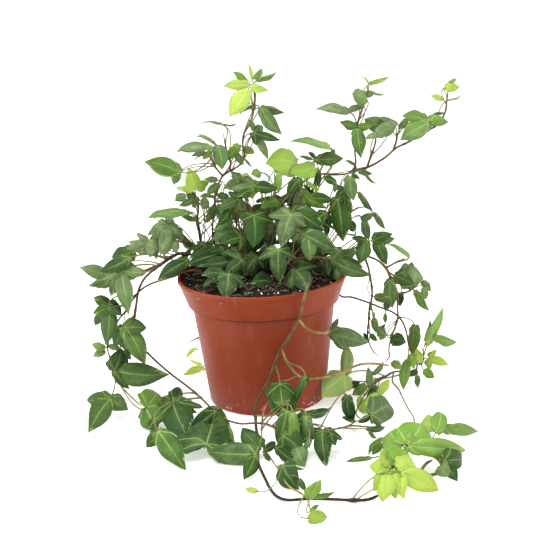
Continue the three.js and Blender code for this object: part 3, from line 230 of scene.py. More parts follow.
# Each blade in a row: its foot and its tip as across, up and back, its turn about its midrib in degrees,
# its youth from 0 to 1 and its width. Then, where they matter, its outline's number in the list below, or
# -1 for any of the lobed ones, and how strong its painted sheen is: a pale grey-green that stands for light
# reflected off the glossy blade, and partly for the blade's own paleness. A long lobe is a blade of its own.
# Leaves low and deep in the crown have a low youth, so they come out darker: partly because they are older,
# partly as painted shade where the crown shades them.
LEAVES = {
    "upper_left": """
        -3 226 0 -20 226 -2 20 .8 1.01 6 .15, -4 222 -2 -17.2 204 -10 10 .92 1.39 6 .2
        -1 224 -2 10 221 -8 0 .85 .83 7 .2, -4 227 2 -12 235 6 30 .5 1.2 6, 0 229 2 -2 240 4 40 1 .74 6
        3 228 1 17 232 0 40 .45 .74 6 .35, 2 229 4 7 236 8 30 .6 1.06 7 .5
        1 211 2 -11 207 0 65 .35 .92 6 .45, 5 209 0 18 190 -8 15 .25 .97 6 .4
        5 209 1 21 205 4 30 .3 .84 6 .35, 0 192 -2 17 186 -10 10 .1 .79 3 .05
        0 192 2 8 173 4 20 .3 .74 6 .65, -1 194 4 -4 202 8 30 .35 1.2 6 .65
        -8 181 12 -1 178 16 0 .75 1.14 7 .1, -12 184 12 -21 174 8 10 .55 1.32 6
        -14 179 7 -9 170 1 10 .1 1.11 6 .25, -8 174 5 -3 168 2 50 .25 .92 6 .55
        -26 184 4 -24 168 -6 0 .3 1.57 6 .3, -31 184 2 -55 182 -8 50 .2 .92 6 .65
        -34 180 5 -45 178 1 50 .25 .92 6 .55, -31 181 6 -37 175 2 20 .7 1.39 6
        -22 199 6 -37 202 4 70 .2 .84 6 .85, -21 199 6 -12 198 8 70 .2 .74 6 .85
        -28 186 10 -41 194 14 65 .35 .84 6 .8, -53 167 0 -77 176 -6 12 .38 1.1 6 .1
        -55 165 6 -58 159 8 20 .25 1.21 7 .55, -27 157 4 -36 150 -2 10 .3 1.3 6 .25
        -30 148 8 -41 150 6 55 .2 1.01 6 .75
    """,
    "left_crown": """
        -42 146 8 -51 155 10 40 .2 1.17 6, -45 148 6 -56 143 0 20 .2 .96 0 .45
        -49 139 6 -78 136 -8 65 .35 1.08 6 .35, -45 133 12 -54 136 8 30 .45 1.17 6 .1
        -44 155 4 -47 169 10 0 .82 1.34 2, -60 127 6 -65 138 12 45 .3 1.23 6 .6
        -60 126 2 -69 107 -8 0 .17 .91 0 .5, -71 127 8 -75 106 0 35 .15 .98 6 .6
        -47 113 10 -56 120 12 40 .07 1.34 6 .25, -36 114 10 -51 112 4 40 .15 .9 6 .2
        -26 108 -2 -51 102 -16 15 0 1.24 6, -52 104 -6 -74 91 -18 15 0 1.04 6 .04
        -50 111 5 -58 103 0 20 0 .95 6, -22 102 -12 -42 100 -22 20 0 1.13 0 .12
        -27 93 -22 -41 94 -34 30 0 1.43 6 .12, -39.1 113.6 2 -50.1 105.5 -4 0 .07 .86 0 .15
        -64 129.4 0 -71 108 -8 0 .15 1.02 0 .75, -80.1 118.6 0 -94.4 113.6 -6 0 .15 1.02 0 .75
        -69.6 128.2 2 -79.1 122.9 2 0 .15 .91 6 .7, -75.8 119.9 0 -78 107.6 -6 0 .12 1.71 6 .7
        -12.1 160.3 8 -24.3 153.8 4 0 .3 1.07 0 .65, -50.8 150.9 2 -58 147 2 0 .15 1.5 6 .75
        -28 160.4 6 -36.3 161.5 6 0 .3 1.28 6 .65, -59.2 117.6 -4 -59.7 109.6 -6 0 .2 1.71 6 .85
    """,
    "inner_crown": """
        -14 146 1 -29 140 -5 15 .2 1.07 0 .2, -20 139 0 -30 128 -9 0 .15 1.27
        -31 141 7 -38 130 3 30 .3 .91, -20 130 3 -32 125 -3 30 .3 1.17 6 .3
        -20 125 0 -34 118 -6 30 .2 1.26 6 .3, -14 119 -4 -29 116 -12 20 .17 1.01
        -24 112 -4 -36 108 -10 20 .07 1.01, -10 150 6 -20 143 3 20 .2 1.01
        -14 102 -16 -27 92 -28 0 0 1.19 0 .14, -18 107 -8 -27 108 -14 10 .15 1.43 6 .3
        -24 92 -30 -27 75 -50 0 0 1.42 0 .1, -4 104 -8 -13 91 -18 10 0 1.13 0 .08
        -4 134 -6 -5 111 -14 0 .12 1.18, -14.2 120.3 16 -22.4 110.6 8 0 .05 .96 0
        -22.1 104 -4 -26.9 93.3 -14 0 0 .96 2, -33.5 112.6 4 -43.3 102.2 -6 0 0 .96 0
        -36.8 140.9 4 -37.7 149.5 4 0 .15 1.6 6 .6, -21.1 148 6 -30 149.8 6 0 .15 1.28 6 .45
    """,
    "middle_crown": """
        -2 155 -2 13 152 -10 15 .12 1.35 6, -3 155 0 -21 154 -6 30 .3 .96 0 .4
        -3 157 4 -13 162 8 40 .45 1.35 6 .35, -5 152 -4 -14 148 -10 20 .2 1.26 6
        2 164 4 -4 163 4 20 .7 1.2 7 .2, 1 128 -4 4 116 -8 40 .15 1.08 6, 14 139 -2 8 129 -8 10 .08 1.09
        18 137 -6 12 123 -12 20 .15 1.09, 12 144 0 1 140 -4 30 .35 .91
        27 169.3 6 6.8 171.7 0 28 .75 1.6 7 .15, 16 168 6 30 172 10 20 .6 .68 7
        15 163 -2 14 148 -6 20 .62 .9 6 .3, 16.4 115.9 20 20.9 104.8 14 0 .03 1.02 3
        -7.6 112.8 16 -13.8 101.4 8 0 0 1.02 0, 4.1 107.8 10 0 95.6 0 0 0 1.02 4
        -4 100.2 4 -8.8 88 -6 0 0 1.02 1
    """,
    "right_crown": """
        39.6 165.9 4 23.3 163 -2 12 .75 1.28 7 .12, 29 158 -2 20 147 -8 0 .15 1.03 7
        34 156 -2 43 149 -8 30 .6 .72 6, 42 163 4 42 152 0 30 .1 1.17 6, 33 153 4 41 145 0 50 .05 .72 6
        36 145 -2 53 142 -10 20 .2 1.17 6, 30 150 4 47 136 -8 20 .42 .81 6
        31 140 4 23 134 -2 20 .15 1.17 6, 22 133 -12 14 110 -22 5 .11 1.18 0 .4
        24 136 -6 44 120 -16 10 .15 1.43 6, 46 133 2 31 123 -8 10 .2 1.26 6
        55 143 4 57 112 -8 10 .25 1.17 6, 60 144 2 62 127 -2 20 .2 1.17 6
        64 158 4 66 141 -4 0 .25 1.35 6 .35, 66 160 4 71 156 0 20 .05 1.09, 60 149 2 53 143 -4 20 .1 1.09
        54 154 4 45 159 4 20 .3 1.43 6, 54 153 4 53 147 2 20 .4 .94 7 .4
        42 171 8 60 171 2 15 .15 1.26 6 .2, 50 173 10 55 178 14 30 .25 1.08 6 .4
        50 180 6 24 187 0 50 .4 .9 6 .5, 41 172 4 36 177 4 30 .1 1.08 6, 38 172 9 29 174 11 50 .3 .9 6 .4
        66 120 8 61 128 8 10 .15 1.11 7, 27.5 113.1 16 32 101.3 10 0 0 1.02 0 .08
        35.1 109.1 14 42.5 98.5 8 0 0 1.02 4, 24.6 109.7 26 17.1 99.1 22 0 0 1.08 0
        46.9 124.5 16 46.6 115.8 12 0 .1 1.07 0, 47.8 131.6 18 48.9 122.9 16 0 .05 1.6 6
    """,
    "front_crown": """
        12 108 -20 12 84 -34 0 0 1.13 0 .12, 30 119 -12 54 104 -26 15 .16 1.17 6 .2
        33 117 -14 34 99 -28 0 .23 1.35 6 .15, 6 85 -18 -6 86 -34 20 0 1.52 6
        22 93 -18 19 79 -34 20 0 1.24 6 .1, 24 92 -20 32 76 -46 0 0 1.08 0 .1
        33 97 -8 20 93 -16 30 0 .96, 50 99 -14 77 86 -34 20 .2 .8 0 .25
        52 102 -4 67 104 -12 25 .19 1.35 6 .35, 52 97 -12 53 84 -26 0 0 1.43 6 .14
        46 97 -12 47 88 -24 20 0 1.24 6 .12, 17.3 104.2 8 13.3 92 0 0 0 .96 2
        29.1 98.5 -12 25.1 88.4 -22 0 0 .96 0 .04, 42.4 97.8 -8 47.7 86.5 -18 0 0 .96 3 .08
    """,
    "upper_right": """
        64 204 14 43 208 8 30 .25 .91 6 .72, 74 207 12 63 203 6 30 .15 1.09 6 .32
        77 212 12 67 216 6 20 .4 1.67 7 .52, 76 214 14 83 216 12 20 .45 1.3 7 .47
        79 222 14 94 226 16 50 .7 .91 6 .4, 80 217 14 89 213 16 70 .4 .72 6 .82
        79 222 14 74 228 16 60 .9 .82 6 .4, 69 193 14 59 197 8 15 .4 1.27 6 .12
        70 191 10 72 172 -2 0 .33 1.19 6 .12, 71 193 12 80 193 6 0 .5 1.36 6
        83 187 8 98 194 2 10 .3 1.36 6 .72, 97 194 10 84 199 12 40 .3 .72 6 .82
        83 188 7 75 184 0 20 .45 .91 6 .72, 118 195 6 101 199 0 20 .42 1.19 6 .22
        119 193 3 100 183 -6 10 .4 1.36 6 .42, 120 195 4 133 193 -2 20 .5 1.04 7 .25
        123 199 7 132 200 4 60 .4 1.09 6 .52, 131 217 1 141 217 -2 10 .9 1.12 7 .2
        133 219 3 139 223 4 30 .85 1.09 6 .4, 129 209 3 121 212 4 20 .92 1.27 6 .4
        132 208 3 143 211 4 70 .5 .72 6 .7, 70 162 16 79 159 10 20 .3 1.09 6 .52
        68 166 22 61 170 24 40 .35 .99 6 .52, 74 161 14 82 151 8 60 .4 .91 6 .62
        89.2 191.7 14 74.9 198 12 0 .3 1.3 7 .62, 104.4 195.9 12 98.1 189.9 10 0 .2 1.51 6 .72
    """,
    "left_trail": """
        -80 112 10 -92 121 14 30 .35 1.12 7 .77, -89 112 0 -105 109 -6 25 .12 1.4 7 .12
        -92 108 -6 -114 99 -14 10 .12 1.09 6 .12, -108 97 0 -127 103 -6 10 .3 1.22 6 .62
        -106 91 2 -123 89 -4 50 .3 1.62 6 .42, -99 98 -8 -96 66 -18 0 .3 1.13 1 .57
        -103 92 -2 -108 81 -8 20 .25 1.62 6 .42, -98 93 0 -89 96 -2 30 .3 .99 6 .47
        -99 57 -8 -87 28 -18 0 .3 1.13 6 .22, -99.2 56.8 -9 -84 55.4 -12 0 .28 1.4 7 .12
        -100 55.3 2 -100.9 39.5 4 0 .15 1.57 6 .52
    """,
    "outer_trail": """
        -110 74 -4 -114 44 -14 0 .25 1.03 6 .28, -101 58 -2 -108 42 -10 10 .28 1.3 6 .23
        -109 25 -4 -72 20 -16 0 .2 1.05 6 .13, -115 42 4 -124 46 4 30 .55 1.73 6 .6
        -115 40 4 -124 36 2 40 .5 1.62 6 .6, -110.4 72.5 -5 -121.1 68.3 -9 0 .3 1.3 7 .08
        -110 72.1 -7 -101.1 66.6 -11 0 .12 .99 7 .08, -109.1 25.2 -5 -103 41 -3 0 .05 1.62 7 .08
        -109.7 24.4 -6 -99.5 9.8 -12 0 .2 .99 6 .08, -110.2 74.4 2 -120.1 80.3 4 0 .35 1.35 7 .08
        -110.3 75.5 4 -101 65.7 2 0 .1 1.24 7 .08, -115.5 67.6 2 -120.5 58.9 2 0 .25 1.51 6 .28
        -104.8 40.8 2 -113.8 43.6 4 0 .4 1.19 6 .58, -100.6 39.8 -2 -96.8 32.1 -4 0 .1 1.3 6 .08
    """,
    "front_trail": """
        47 46 -30 74 36 -34 0 .15 1.13 6 .55, 48 44 -32 59 31 -38 20 .15 1.09 6 .5
        48 48 -28 53 56 -26 20 .25 1.09 6 .4
    """,
    "right": """
        73 112 4 69 95 -4 0 .3 1.54 6 .15, 74 112 4 64 115 2 20 .15 1.27 6 .15
        79 112 2 93 116 -4 10 .25 .95 7 .15, 82 111 2 88 93 -6 15 .2 1.18 6 .15
        79 109 4 81 101 2 30 .3 1.09 6 .15, 73 126 12 76 112 8 20 .25 1.18 6 .5
        71 127 10 80 131 8 20 .2 1.27 6 .45, 80 131 20 87 119 14 30 .4 .91 6 .7
        104 99 6 90 110 4 45 .5 .82 6 .4, 70 146 20 79 133 14 40 .3 .91 6 .8
        97 84 8 114 82 4 0 .35 1.89 7 1, 105 88 8 106 95 12 20 .3 1.21 7 .75
        94 85 2 107 78 -4 10 .2 1.3 7 .15, 92 84 2 86 75 -4 20 .3 1.18 6 .15
        90 82 -1 91 61 -8 10 .2 1.18 6 .25, 79 70 -5 89 69 -11 10 .35 1.57 6 .15
        98 72 7 96 62 5 30 .1 1.4 6 .15, 89 69 0 86 59 -6 20 .25 1.51 6 .5
        113 80 6 119 72 3 10 .3 1.35 6 .8, 108 73 4 117 57 2 30 .5 .91 6 .1
        86 57 6 86 50 4 20 .5 1.24 6 .5, 78 54 -8 79 43 -12 20 .42 1.35 6 .35
        78 54 -8 77 60 -6 30 .4 1.24 6 .45, 82 45 -4 86 50 -3 20 .1 1.18 6 .15
        86 41 -4 79 47 -9 20 .3 1.46 7 .15, 72 39 -3 70 44 -3 20 .1 1.04 7 .15
        75 42 -8 80 37 -10 20 .2 1.04 7 .15, 90 38 0 100 35 -7 0 .2 1.57 7 .15
        85.7 109.4 2 94.3 112.6 2 0 .2 1.3 6 .45, 114 75 2 115.3 66 2 0 .35 1.51 6 .6
        62.2 99 6 71.2 91.9 2 0 .3 .97 6 .15
    """,
    "back_right": """
        107 47 20 105 24 12 30 .45 1.24 6 .37, 116 33 8 128 60 12 45 .5 .81 6 .5
        114 36 6 119 51 8 45 .45 .72 6 .42, 121 38 8 137 32 4 40 .55 1.3 6 .45
        116 32 6 116 41 8 20 .8 .91 6, 117 22 6 131 16 2 0 .86 1.08 0, 110 19 0 108 30 2 0 .9 1.62 6
        113 13 0 120 7 -6 10 .62 1.73 6 .1, 101 21 4 97 -1 -6 30 .55 .92 6 .3
        108 9 0 108 0 -5 20 .3 1.3 6 .42, 90 20 4 97 16 0 10 .75 1.94 6 .1
        108 13 2 102 9 -2 10 .1 1.62 6 .12, 79 2 -16 70 -9 -32 10 .05 .91 6 .12
        74 1 -20 73 18 -14 30 .3 .86 6 .62, 76 12 -12 85 21 -8 40 .3 .92 6 .57
        80 -3 -24 88 8 -18 10 .82 1.19 6, 79 -4 -27 69 -19 -46 10 .82 1.13 6
        66 -5 -36 68 -18 -48 20 .62 1.03 6 .2, 58 3 -10 67 7 -10 10 0 1.19 6 .12
        54 4 -10 50 5 -10 10 .1 1.27 6 .12, 56 12 -14 39 -3 -32 0 .8 1.3 7 .95
        56 13 4 58 37 12 20 .75 1.03 6 1, 70.8 3.3 -10 60.5 -3.1 -12 0 .5 1.51 6 .3
        103.1 25.3 0 105.7 13.7 -2 0 .6 1.08 6 .2
    """,
    "back_crown": """
        -15 143 42 -28 130 62 170 .2 1.01, 22 148 46 31 130 66 180 .15 1.01
        -5 140 46 -8 121 66 180 .25 1.01, 10 146 48 12 130 70 180 .2 1.01, 30 140 46 44 127 60 170 .3 .91
        -22 128 46 -36 115 62 180 .07 1.01, 2 124 50 4 108 72 180 .05 1.01
        22 124 52 32 110 70 180 .12 1.01, -12 116 52 -22 101 72 180 0 1.07
        34 116 50 46 105 64 180 .1 1.01, -28 110 50 -40 101 64 180 .2 .91, 5 96 74 -10 88 92 170 0 1.07
        6 82 78 20 72 94 180 .1 1.01, 3 63 81 -12 52 96 180 .15 1.01, 0 50 86 15 44 98 180 .12 .91
        -20 40 106 -12 46 120 180 .6 .91, -51 38 96 -58 32 84 40 .9 .73, -47 24 62 -60 19 47 20 .95 1.01
        1.1 118.8 20 -4.3 107.5 14 0 .03 .96 2, 8.3 122.1 24 6.3 108.4 16 0 .05 1.02 0
        38.8 113.3 30 45.4 102 26 0 0 1.02 2, -8.8 116.4 30 -15 105.1 26 0 0 1.02 0
    """,
}

# Leaves near the surface that the pot stands on, with the height above it in place of the back value.
LOW_LEAVES = {
    "outer_trail": """
        -114 3 14 -131 -21 4 0 .25 1.03 6 .18, -88 -4 12 -78 9 14 10 .45 1.13 7 .08
        -89 -5 11 -84 -22 4 15 .35 1.73 6 .08, -114.7 3.6 13 -131.3 3.4 12 0 .3 1.4 7 .18
        -114.4 3.8 13 -102.7 -5.4 9 0 .28 1.19 7 .13
    """,
    "left_trail": """
        -69 -3 16 -60 -30 5 0 .06 1.03 2, -69 -1 17 -61 9 20 20 .1 1.13 7, -70 -2 16 -77 4 16 20 .1 1.4 6
        -81 -24 16 -64 -54 3 0 .3 .92 6, -47.1 -35.8 9 -35.8 -4.1 17 0 0 .92 2 .08
        -39 -10 22 -60 -27 10 0 0 1.03 6, -33 -22 10 -27 -37 3 30 .35 1.08 6 .3
        57 -4 26 61 -25 5 20 .05 1.03 6, 61 -24 8 52 -18 8 50 .25 .91 6
        74 -19 14 92 -12 12 0 .08 1.24 7 .35, 74 -20 13 64 -25 9 10 .1 1.08 6
        71 -30 7 85 -31 4 50 .2 .99 6, 72 -32 5 77 -38 2 30 .3 1.18 6 .2, 38 -30 14 40 -57 2 0 .05 .92 0
        26 -15 22 16 -25 12 20 .15 1.36 6, 27 -18 24 27 -43 4 30 .25 1.18 6 .35
        28 -16 16 47 -14 12 40 .15 .91 6, 20 -20 22 21 -41 4 20 .12 1.27 6
        28 -36 12 23 -50 3 50 .3 1.51 6 .5, -81.3 -24.3 14 -90.6 -35.9 7 0 .35 1.24 7
        -69.6 -3.2 16 -80.3 -5.7 13 0 .12 1.08 7 .15, -68.7 -3.2 16 -51.9 -10.8 10 0 .12 .97 0 .1
        9.2 -32.2 12 23.3 -46.4 6 0 .12 1.35 7, 18.3 -42.9 8 24.3 -57.5 4 0 .15 1.4 6 .35
        44.3 -32.6 14 47.6 -42.2 10 0 .05 1.4 6
    """,
    "front_trail": """
        -8 -40 8 -20 -24 16 0 .1 1.12 7, -11 -45 8 -47 -41 8 10 .15 1.22 6 .15
        -12 -47 8 -21 -65 2 0 .15 .97 6, 10 -8 26 9 8 32 0 .15 1.26 6, 9 8 30 9 -21 14 0 .1 1.2 7
        27 12 34 16 -12 16 40 .2 .76 6, 28 8 30 29 15 35 20 .2 1.01 6, 86 -62 18 71 -59 16 10 .85 1.25 7
        86 -65 17 80 -89 5 0 .85 1.1 7, 90 -60 19 100 -48 20 10 .6 1.2 7, 94 -66 17 124 -83 4 0 .93 1.15 6
    """,
    "pale_runner": """
        13 -13 26 5 -41 4 10 .25 1.09 6 .1, 17 -15 26 16 -44 5 10 .4 .76 6 .15
        -5 -43 9 5 -37 10 30 .15 1.18 6, -5 -45 8 -1 -52 4 20 .12 1.18 6, 4 -41 8 19 -55 2 20 .12 1 6
        8.2 -55.8 12 18.5 -73.9 3 0 .14 1.45 7, 20 -67 8 24 -77 2 20 .2 1.09 6 .2
        14 -56 10 24 -60 6 40 .5 .67 6 .2, 26 -82 6 36 -69 16 20 .65 1.25 7 .15
        30 -82 5 45 -80 8 30 .5 .76 6 .1, 27 -93 5 34 -88 8 10 .6 1.01 6
        26 -98.9 5 40.5 -98.7 3 10 .78 1.3 7, -12 -75 4 -21 -72 4 20 .9 1.18 6 .3
    """,
    "lower_right": """
        96 -44 22 85 -31 22 10 .5 1.4 7 .35, 99 -44 22 110 -26 24 0 .6 1.19 7 .1
        101 -45 22 146 -51 10 0 .6 .67 6 .3, 82 -38 12 70 -50 4 45 .35 .82 6 .08
        82 -43 10 85 -52 3 30 .1 .91 6 .08, 86 -64 17 74 -79 10 0 .82 1.19 7
        87 -65 17 90 -86 6 10 .9 1.08 7, 86 -60 19 84 -46 24 34 .85 1.24 7
        93 -64 17 96 -86 7 20 .95 1.19 6, 95 -65 18 108 -58 14 0 .9 1.3 7
        72 -53 6 53 -54 4 40 .35 .72 6 .08, 117.3 -30.3 16 108.6 -25.1 14 0 .7 1.19 7 .2
        81.2 -42.4 14 73.7 -50.7 8 0 .35 1.4 6 .08
    """,
    "curl": """
        121 -35 18 125 -17 26 20 .55 1.15 6 .2, 127 -33 16 153 -38 10 20 .5 .9 6 .35
        126 -58 12 143 -58 6 10 .2 1.1 7, 127 -60 10 136 -75 3 10 .2 1.3 6
        124.2 -62.2 14 129.2 -71.2 5 0 .45 1.6 7 .5
    """,
}

# How far behind the leaves of a stem the ones lie that face the back, and how large those are.
BACK_LEAVES = {
    "upper_left": (14, 0.85),
    "left_crown": (26, 0.9),
    "inner_crown": (24, 0.95),
    "middle_crown": (28, 0.95),
    "right_crown": (24, 0.9),
    "upper_right": (13, 0.85),
    "left_trail": (16, 0.85),
    "right": (15, 0.85),
}

# The outlines of the blades. For the middle lobe, the side lobes and the ones at the foot: the direction
# from the midrib and the spread in degrees with the length between them, and how blunt the tip is. The
# last value is how much longer the lobes on the right are than the ones on the left.
BLADE_LOBES = [
    ([(0, 1.0, 60, 0.8), (70, 0.52, 48, 1.35), (112, 0.33, 60, 2)], 0.05),
    ([(0, 1.0, 50, 0.78), (76, 0.46, 44, 1.4), (120, 0.28, 58, 2)], -0.12),
    ([(0, 1.0, 70, 0.85), (64, 0.56, 48, 1.4), (108, 0.37, 62, 2)], 0.1),
    ([(0, 1.0, 56, 0.8), (84, 0.5, 42, 1.7), (126, 0.29, 56, 2)], 0.16),
    ([(0, 1.0, 74, 0.9), (68, 0.46, 46, 1.6), (112, 0.32, 62, 2.1)], -0.2),
    ([(0, 1.0, 54, 0.75), (64, 0.56, 40, 1.15), (110, 0.31, 56, 1.8)], -0.04),
    ([(0, 1.0, 56, 0.85), (40, 0.24, 60, 2), (100, 0.13, 70, 2)], 0.05),
    ([(0, 1.0, 68, 0.9), (42, 0.38, 60, 2), (104, 0.18, 70, 2)], -0.05),
]
LOBED_OUTLINES = 6

# How sharply the lobes part, the notch at the foot, and how a blade bulges and creases between its veins.
LOBE_MELT = 7
NOTCH_DEPTH = 0.9
NOTCH_WIDTH = 0.32
BLADE_PUFF = 0.035
BLADE_CREASE = 0.016

# How many outline points lie between a lobe's tip and the next hollow, from the middle lobe to the foot,
# and where the rings of points lie between the middle and the edge.
FINE_STEPS = (7, 4, 3, 3, 3)
FINE_RINGS = (0.3, 0.58, 0.82, 1.0)
PLAIN_STEPS = (4, 3, 2, 2, 2)
PLAIN_RINGS = (0.5, 1.0)
PLAIN_BELOW = 13

# Between a stem's points, and from its root to the point where it leaves the compost, in mm.
PATH_SPACING = 2.0
ROOT_DEPTH = 7

# The stalks: blades whose feet lie nearer than this many mm share one. Then how many points one has, how
# it bends, how far towards the root it springs, and how its radius grows with its leaf and at its ends.
SAME_FOOT = 5
STALK_STEPS = 9
STALK_BEND = 0.45
STALK_SLANT = 0.9
STALK_LEAST = 3
ROOT_STEPS = 5
STALK_GROWTH = 0.005
STALK_ROOT_SWELLING = (0.5, 14)
STALK_END_SWELLING = (0.35, 10)

# The limits of chance for each leaf: how far it arches, folds and twists, how its tip curls and its edge
# waves, and how its lobes droop and its tip sweeps aside.
BOW_LIMITS = ((0.1, 0.34), (0.1, 0.6), (-0.4, 0.4))
WAVE_LIMITS = ((-0.2, 0.9), (0.03, 0.1), (0, math.tau))
HANG_LIMITS = ((-0.25, 0.6), (-0.25, 0.6), (-0.22, 0.22))

# The limits of chance for a leaf that faces the back: its depth and its size, as shares of those of its
# stem. Its tip lies farther back than its foot.
BACK_DEPTHS = (0.8, 1.25)
BACK_SIZES = (0.85, 1.1)
BACK_TIP_DEPTH = 1.25

# A stem's radius: a side shoot's share of it, the tip's share, the mm over which it would grow by a whole
# one from there, how far in mm a stalk makes it swell, and how much and how closely it varies.
SHOOT_THICKNESS = 0.85
TIP_THICKNESS = 0.45
TIP_TAPER = 9
KNOT_REACH = 1.8
WOBBLE = 0.07
WOBBLE_FINENESS = 0.35

# How early a stem grows pale, how far above the pot it still has rootlets, and how those turn.
PALE_RISE = 0.6
ROOTLETS_ABOVE_POT = 8
ROOTLET_TURNS = ((1.2, 1.9), (-0.4, 0.4), (-0.9, 0.9))


# Places along the lines of sight, paths and stems.

def sight_point(across, up, stretch):
    """The point that a line of sight reaches when it is stretched past the upright plane."""
    return Vector((across * stretch, (stretch - 1) * EYE_DISTANCE, EYE_HEIGHT + (up - EYE_HEIGHT) * stretch))


def placed(row, usual_lowest):
    """The point of a row of across, up, back and maybe its least height."""
    across, up, back, *least = row
    lowest = least[0] if least else usual_lowest
    stretch = 1 + back / EYE_DISTANCE
    if EYE_HEIGHT + (up - EYE_HEIGHT) * stretch < lowest:
        stretch = (EYE_HEIGHT - lowest) / (EYE_HEIGHT - up)
    return sight_point(across, up, stretch)


def placed_at_height(across, up, height):
    """The point where a line of sight comes down to the given height."""
    return sight_point(across, up, (EYE_HEIGHT - height) / (EYE_HEIGHT - up))


def curved(points, spacing):
    """Points about the spacing apart on the smooth curve through the given points."""
    guides = [2 * points[0] - points[1], *points, 2 * points[-1] - points[-2]]
    path = [points[0]]
    for before, start, end, after in zip(guides, guides[1:], guides[2:], guides[3:]):
        steps = (start - before, end - start, after - end)
        first, middle, last = (math.sqrt(max(step.length, MM)) for step in steps)
        leave = (start - before) / first - (end - before) / (first + middle) + (end - start) / middle
        arrive = (end - start) / middle - (after - start) / (middle + last) + (after - end) / last
        steps = max(1, round((end - start).length / spacing))
        for step in range(1, steps + 1):
            t = step / steps
            path.append(
                (2 * t**3 - 3 * t**2 + 1) * start
                + (3 * t**2 - 2 * t**3) * end
                + (t**3 - 2 * t**2 + t) * middle * leave
                + (t**3 - t**2) * middle * arrive
            )
    return path


def nearest_point(paths, target):
    """The point on the given paths that lies nearest to the target."""
    nearest = None
    for path in paths:
        for start, end in zip(path, path[1:]):
            _, share = intersect_point_line(target, start, end)
            point = start.lerp(end, min(max(share, 0), 1))
            if nearest is None or (point - target).length < (nearest - target).length:
                nearest = point
    return nearest


def stem_paths():
    """Every stem's smooth paths. A side shoot starts on the path that bears it."""
    paths = {}
    for name, stem in STEMS.items():
        bearers = list(paths.get(stem["parent"], []))
        own = []
        for route in stem["routes"]:
            points = [placed(point, STEM_LOWEST) for point in route]
            if bearers:
                points[0] = nearest_point(bearers, points[0])
            else:
                points.insert(0, points[0] - Vector((0, 0, ROOT_DEPTH)))
            path = curved(points, PATH_SPACING)
            own.append(path)
            bearers.append(path)
        paths[name] = own
    return paths


@dataclass
class Leaf:
    """A blade's place and habit. Lengths are in mm, and directions have length 1."""

    foot: Vector
    midrib: Vector
    side: Vector
    face: Vector
    length: float
    width: float
    youth: float
    outline: int
    sheen: float
    chance: float
    bow: list
    wave: list
    hang: list


def leaf_between(foot, tip, look, chance):
    """The blade from foot to tip that faces the eye, but for its turn about its midrib."""
    turn, youth, width, outline, sheen = (*look, *(-1, 0)[len(look) - 3:])
    midrib = (tip - foot).normalized()
    eye = Vector((0, -EYE_DISTANCE, EYE_HEIGHT))
    towards_eye = (eye - (foot + tip) / 2).normalized()
    facing = (towards_eye - midrib * towards_eye.dot(midrib)).normalized()
    angle = math.radians(turn)
    face = facing * math.cos(angle) + midrib.cross(facing) * math.sin(angle)
    return Leaf(
        foot=foot,
        midrib=midrib,
        side=midrib.cross(face),
        face=face,
        length=(tip - foot).length,
        width=width,
        youth=youth,
        outline=chance.randrange(LOBED_OUTLINES) if outline < 0 else int(outline),
        sheen=sheen,
        chance=chance.random(),
        bow=[chance.uniform(*limits) for limits in BOW_LIMITS],
        wave=[chance.uniform(*limits) for limits in WAVE_LIMITS],
        hang=[chance.uniform(*limits) for limits in HANG_LIMITS],
    )


def back_row(row, depth, size):
    """The row of a leaf that faces the back and is hidden from the eye by the leaf of the given row."""
    foot, tip = Vector(row[0:3]), Vector(row[3:6])
    middle = (foot + tip) / 2
    behind = Vector((0, 0, depth))
    foot = middle + (foot - middle) * size + behind
    tip = middle + (tip - middle) * size + behind * BACK_TIP_DEPTH
    return [*foot, *tip, 180 - row[6], *row[7:]]


def all_leaves():
    """Every stem's leaves. Each draws its chances from a seed of its own, so that none changes another."""
    leaves = {name: [] for name in STEMS}

    def add_leaf(name, row, chance):
        foot, tip = placed(row[0:3], STEM_LOWEST), placed(row[3:6], BLADE_LOWEST)
        leaves[name].append(leaf_between(foot, tip, row[6:], chance))

    for name, text in LEAVES.items():
        for number, row in enumerate(table(text)):
            add_leaf(name, row, random.Random(f"{name} {number}"))
    for name, text in LOW_LEAVES.items():
        for number, row in enumerate(table(text)):
            foot, tip = placed_at_height(*row[0:3]), placed_at_height(*row[3:6])
            chance = random.Random(f"{name} low {number}")
            leaves[name].append(leaf_between(foot, tip, row[6:], chance))
    for name, (depth, size) in BACK_LEAVES.items():
        for number, row in enumerate(table(LEAVES[name])):
            chance = random.Random(f"{name} back {number}")
            farther, smaller = chance.uniform(*BACK_DEPTHS), chance.uniform(*BACK_SIZES)
            add_leaf(name, back_row(row, depth * farther, size * smaller), chance)
    return leaves


def stalk_start(leaf, paths):
    """Where a leaf's stalk springs from its stem: some way towards the root from the nearest point."""
    path = min(paths, key=lambda path: min((leaf.foot - point).length for point in path))
    index = min(range(len(path)), key=lambda index: (leaf.foot - path[index]).length)
    back = round((STALK_SLANT * (leaf.foot - path[index]).length + STALK_LEAST) / PATH_SPACING)
    return path[max(min(index, ROOT_STEPS), index - back)]


def stalk_path(leaf, paths):
    """The points of a leaf's stalk, from the stem's middle line to just under the blade's foot."""
    start = stalk_start(leaf, paths)
    end = leaf.foot + (leaf.midrib * 0.06 - leaf.face * 0.01) * leaf.length
    bend = leaf.foot - leaf.midrib * STALK_BEND * (leaf.foot - start).length
    bend.z = max(bend.z, STEM_LOWEST)
    steps = [step / (STALK_STEPS - 1) for step in range(STALK_STEPS)]
    return [(1 - t) ** 2 * start + 2 * t * (1 - t) * bend + t**2 * end for t in steps]


# Node trees, written as sums.

class Wire:
    """An output of a node tree, with which sums are written as with numbers."""

    def __init__(self, plan, socket):
        self.plan = plan
        self.socket = socket

    @property
    def is_vector(self):
        return self.socket.type in ("VECTOR", "RGBA")

    def out(self, name):
        """Another output of the same node."""
        return Wire(self.plan, self.socket.node.outputs[name])

    def __neg__(self):
        return self * -1


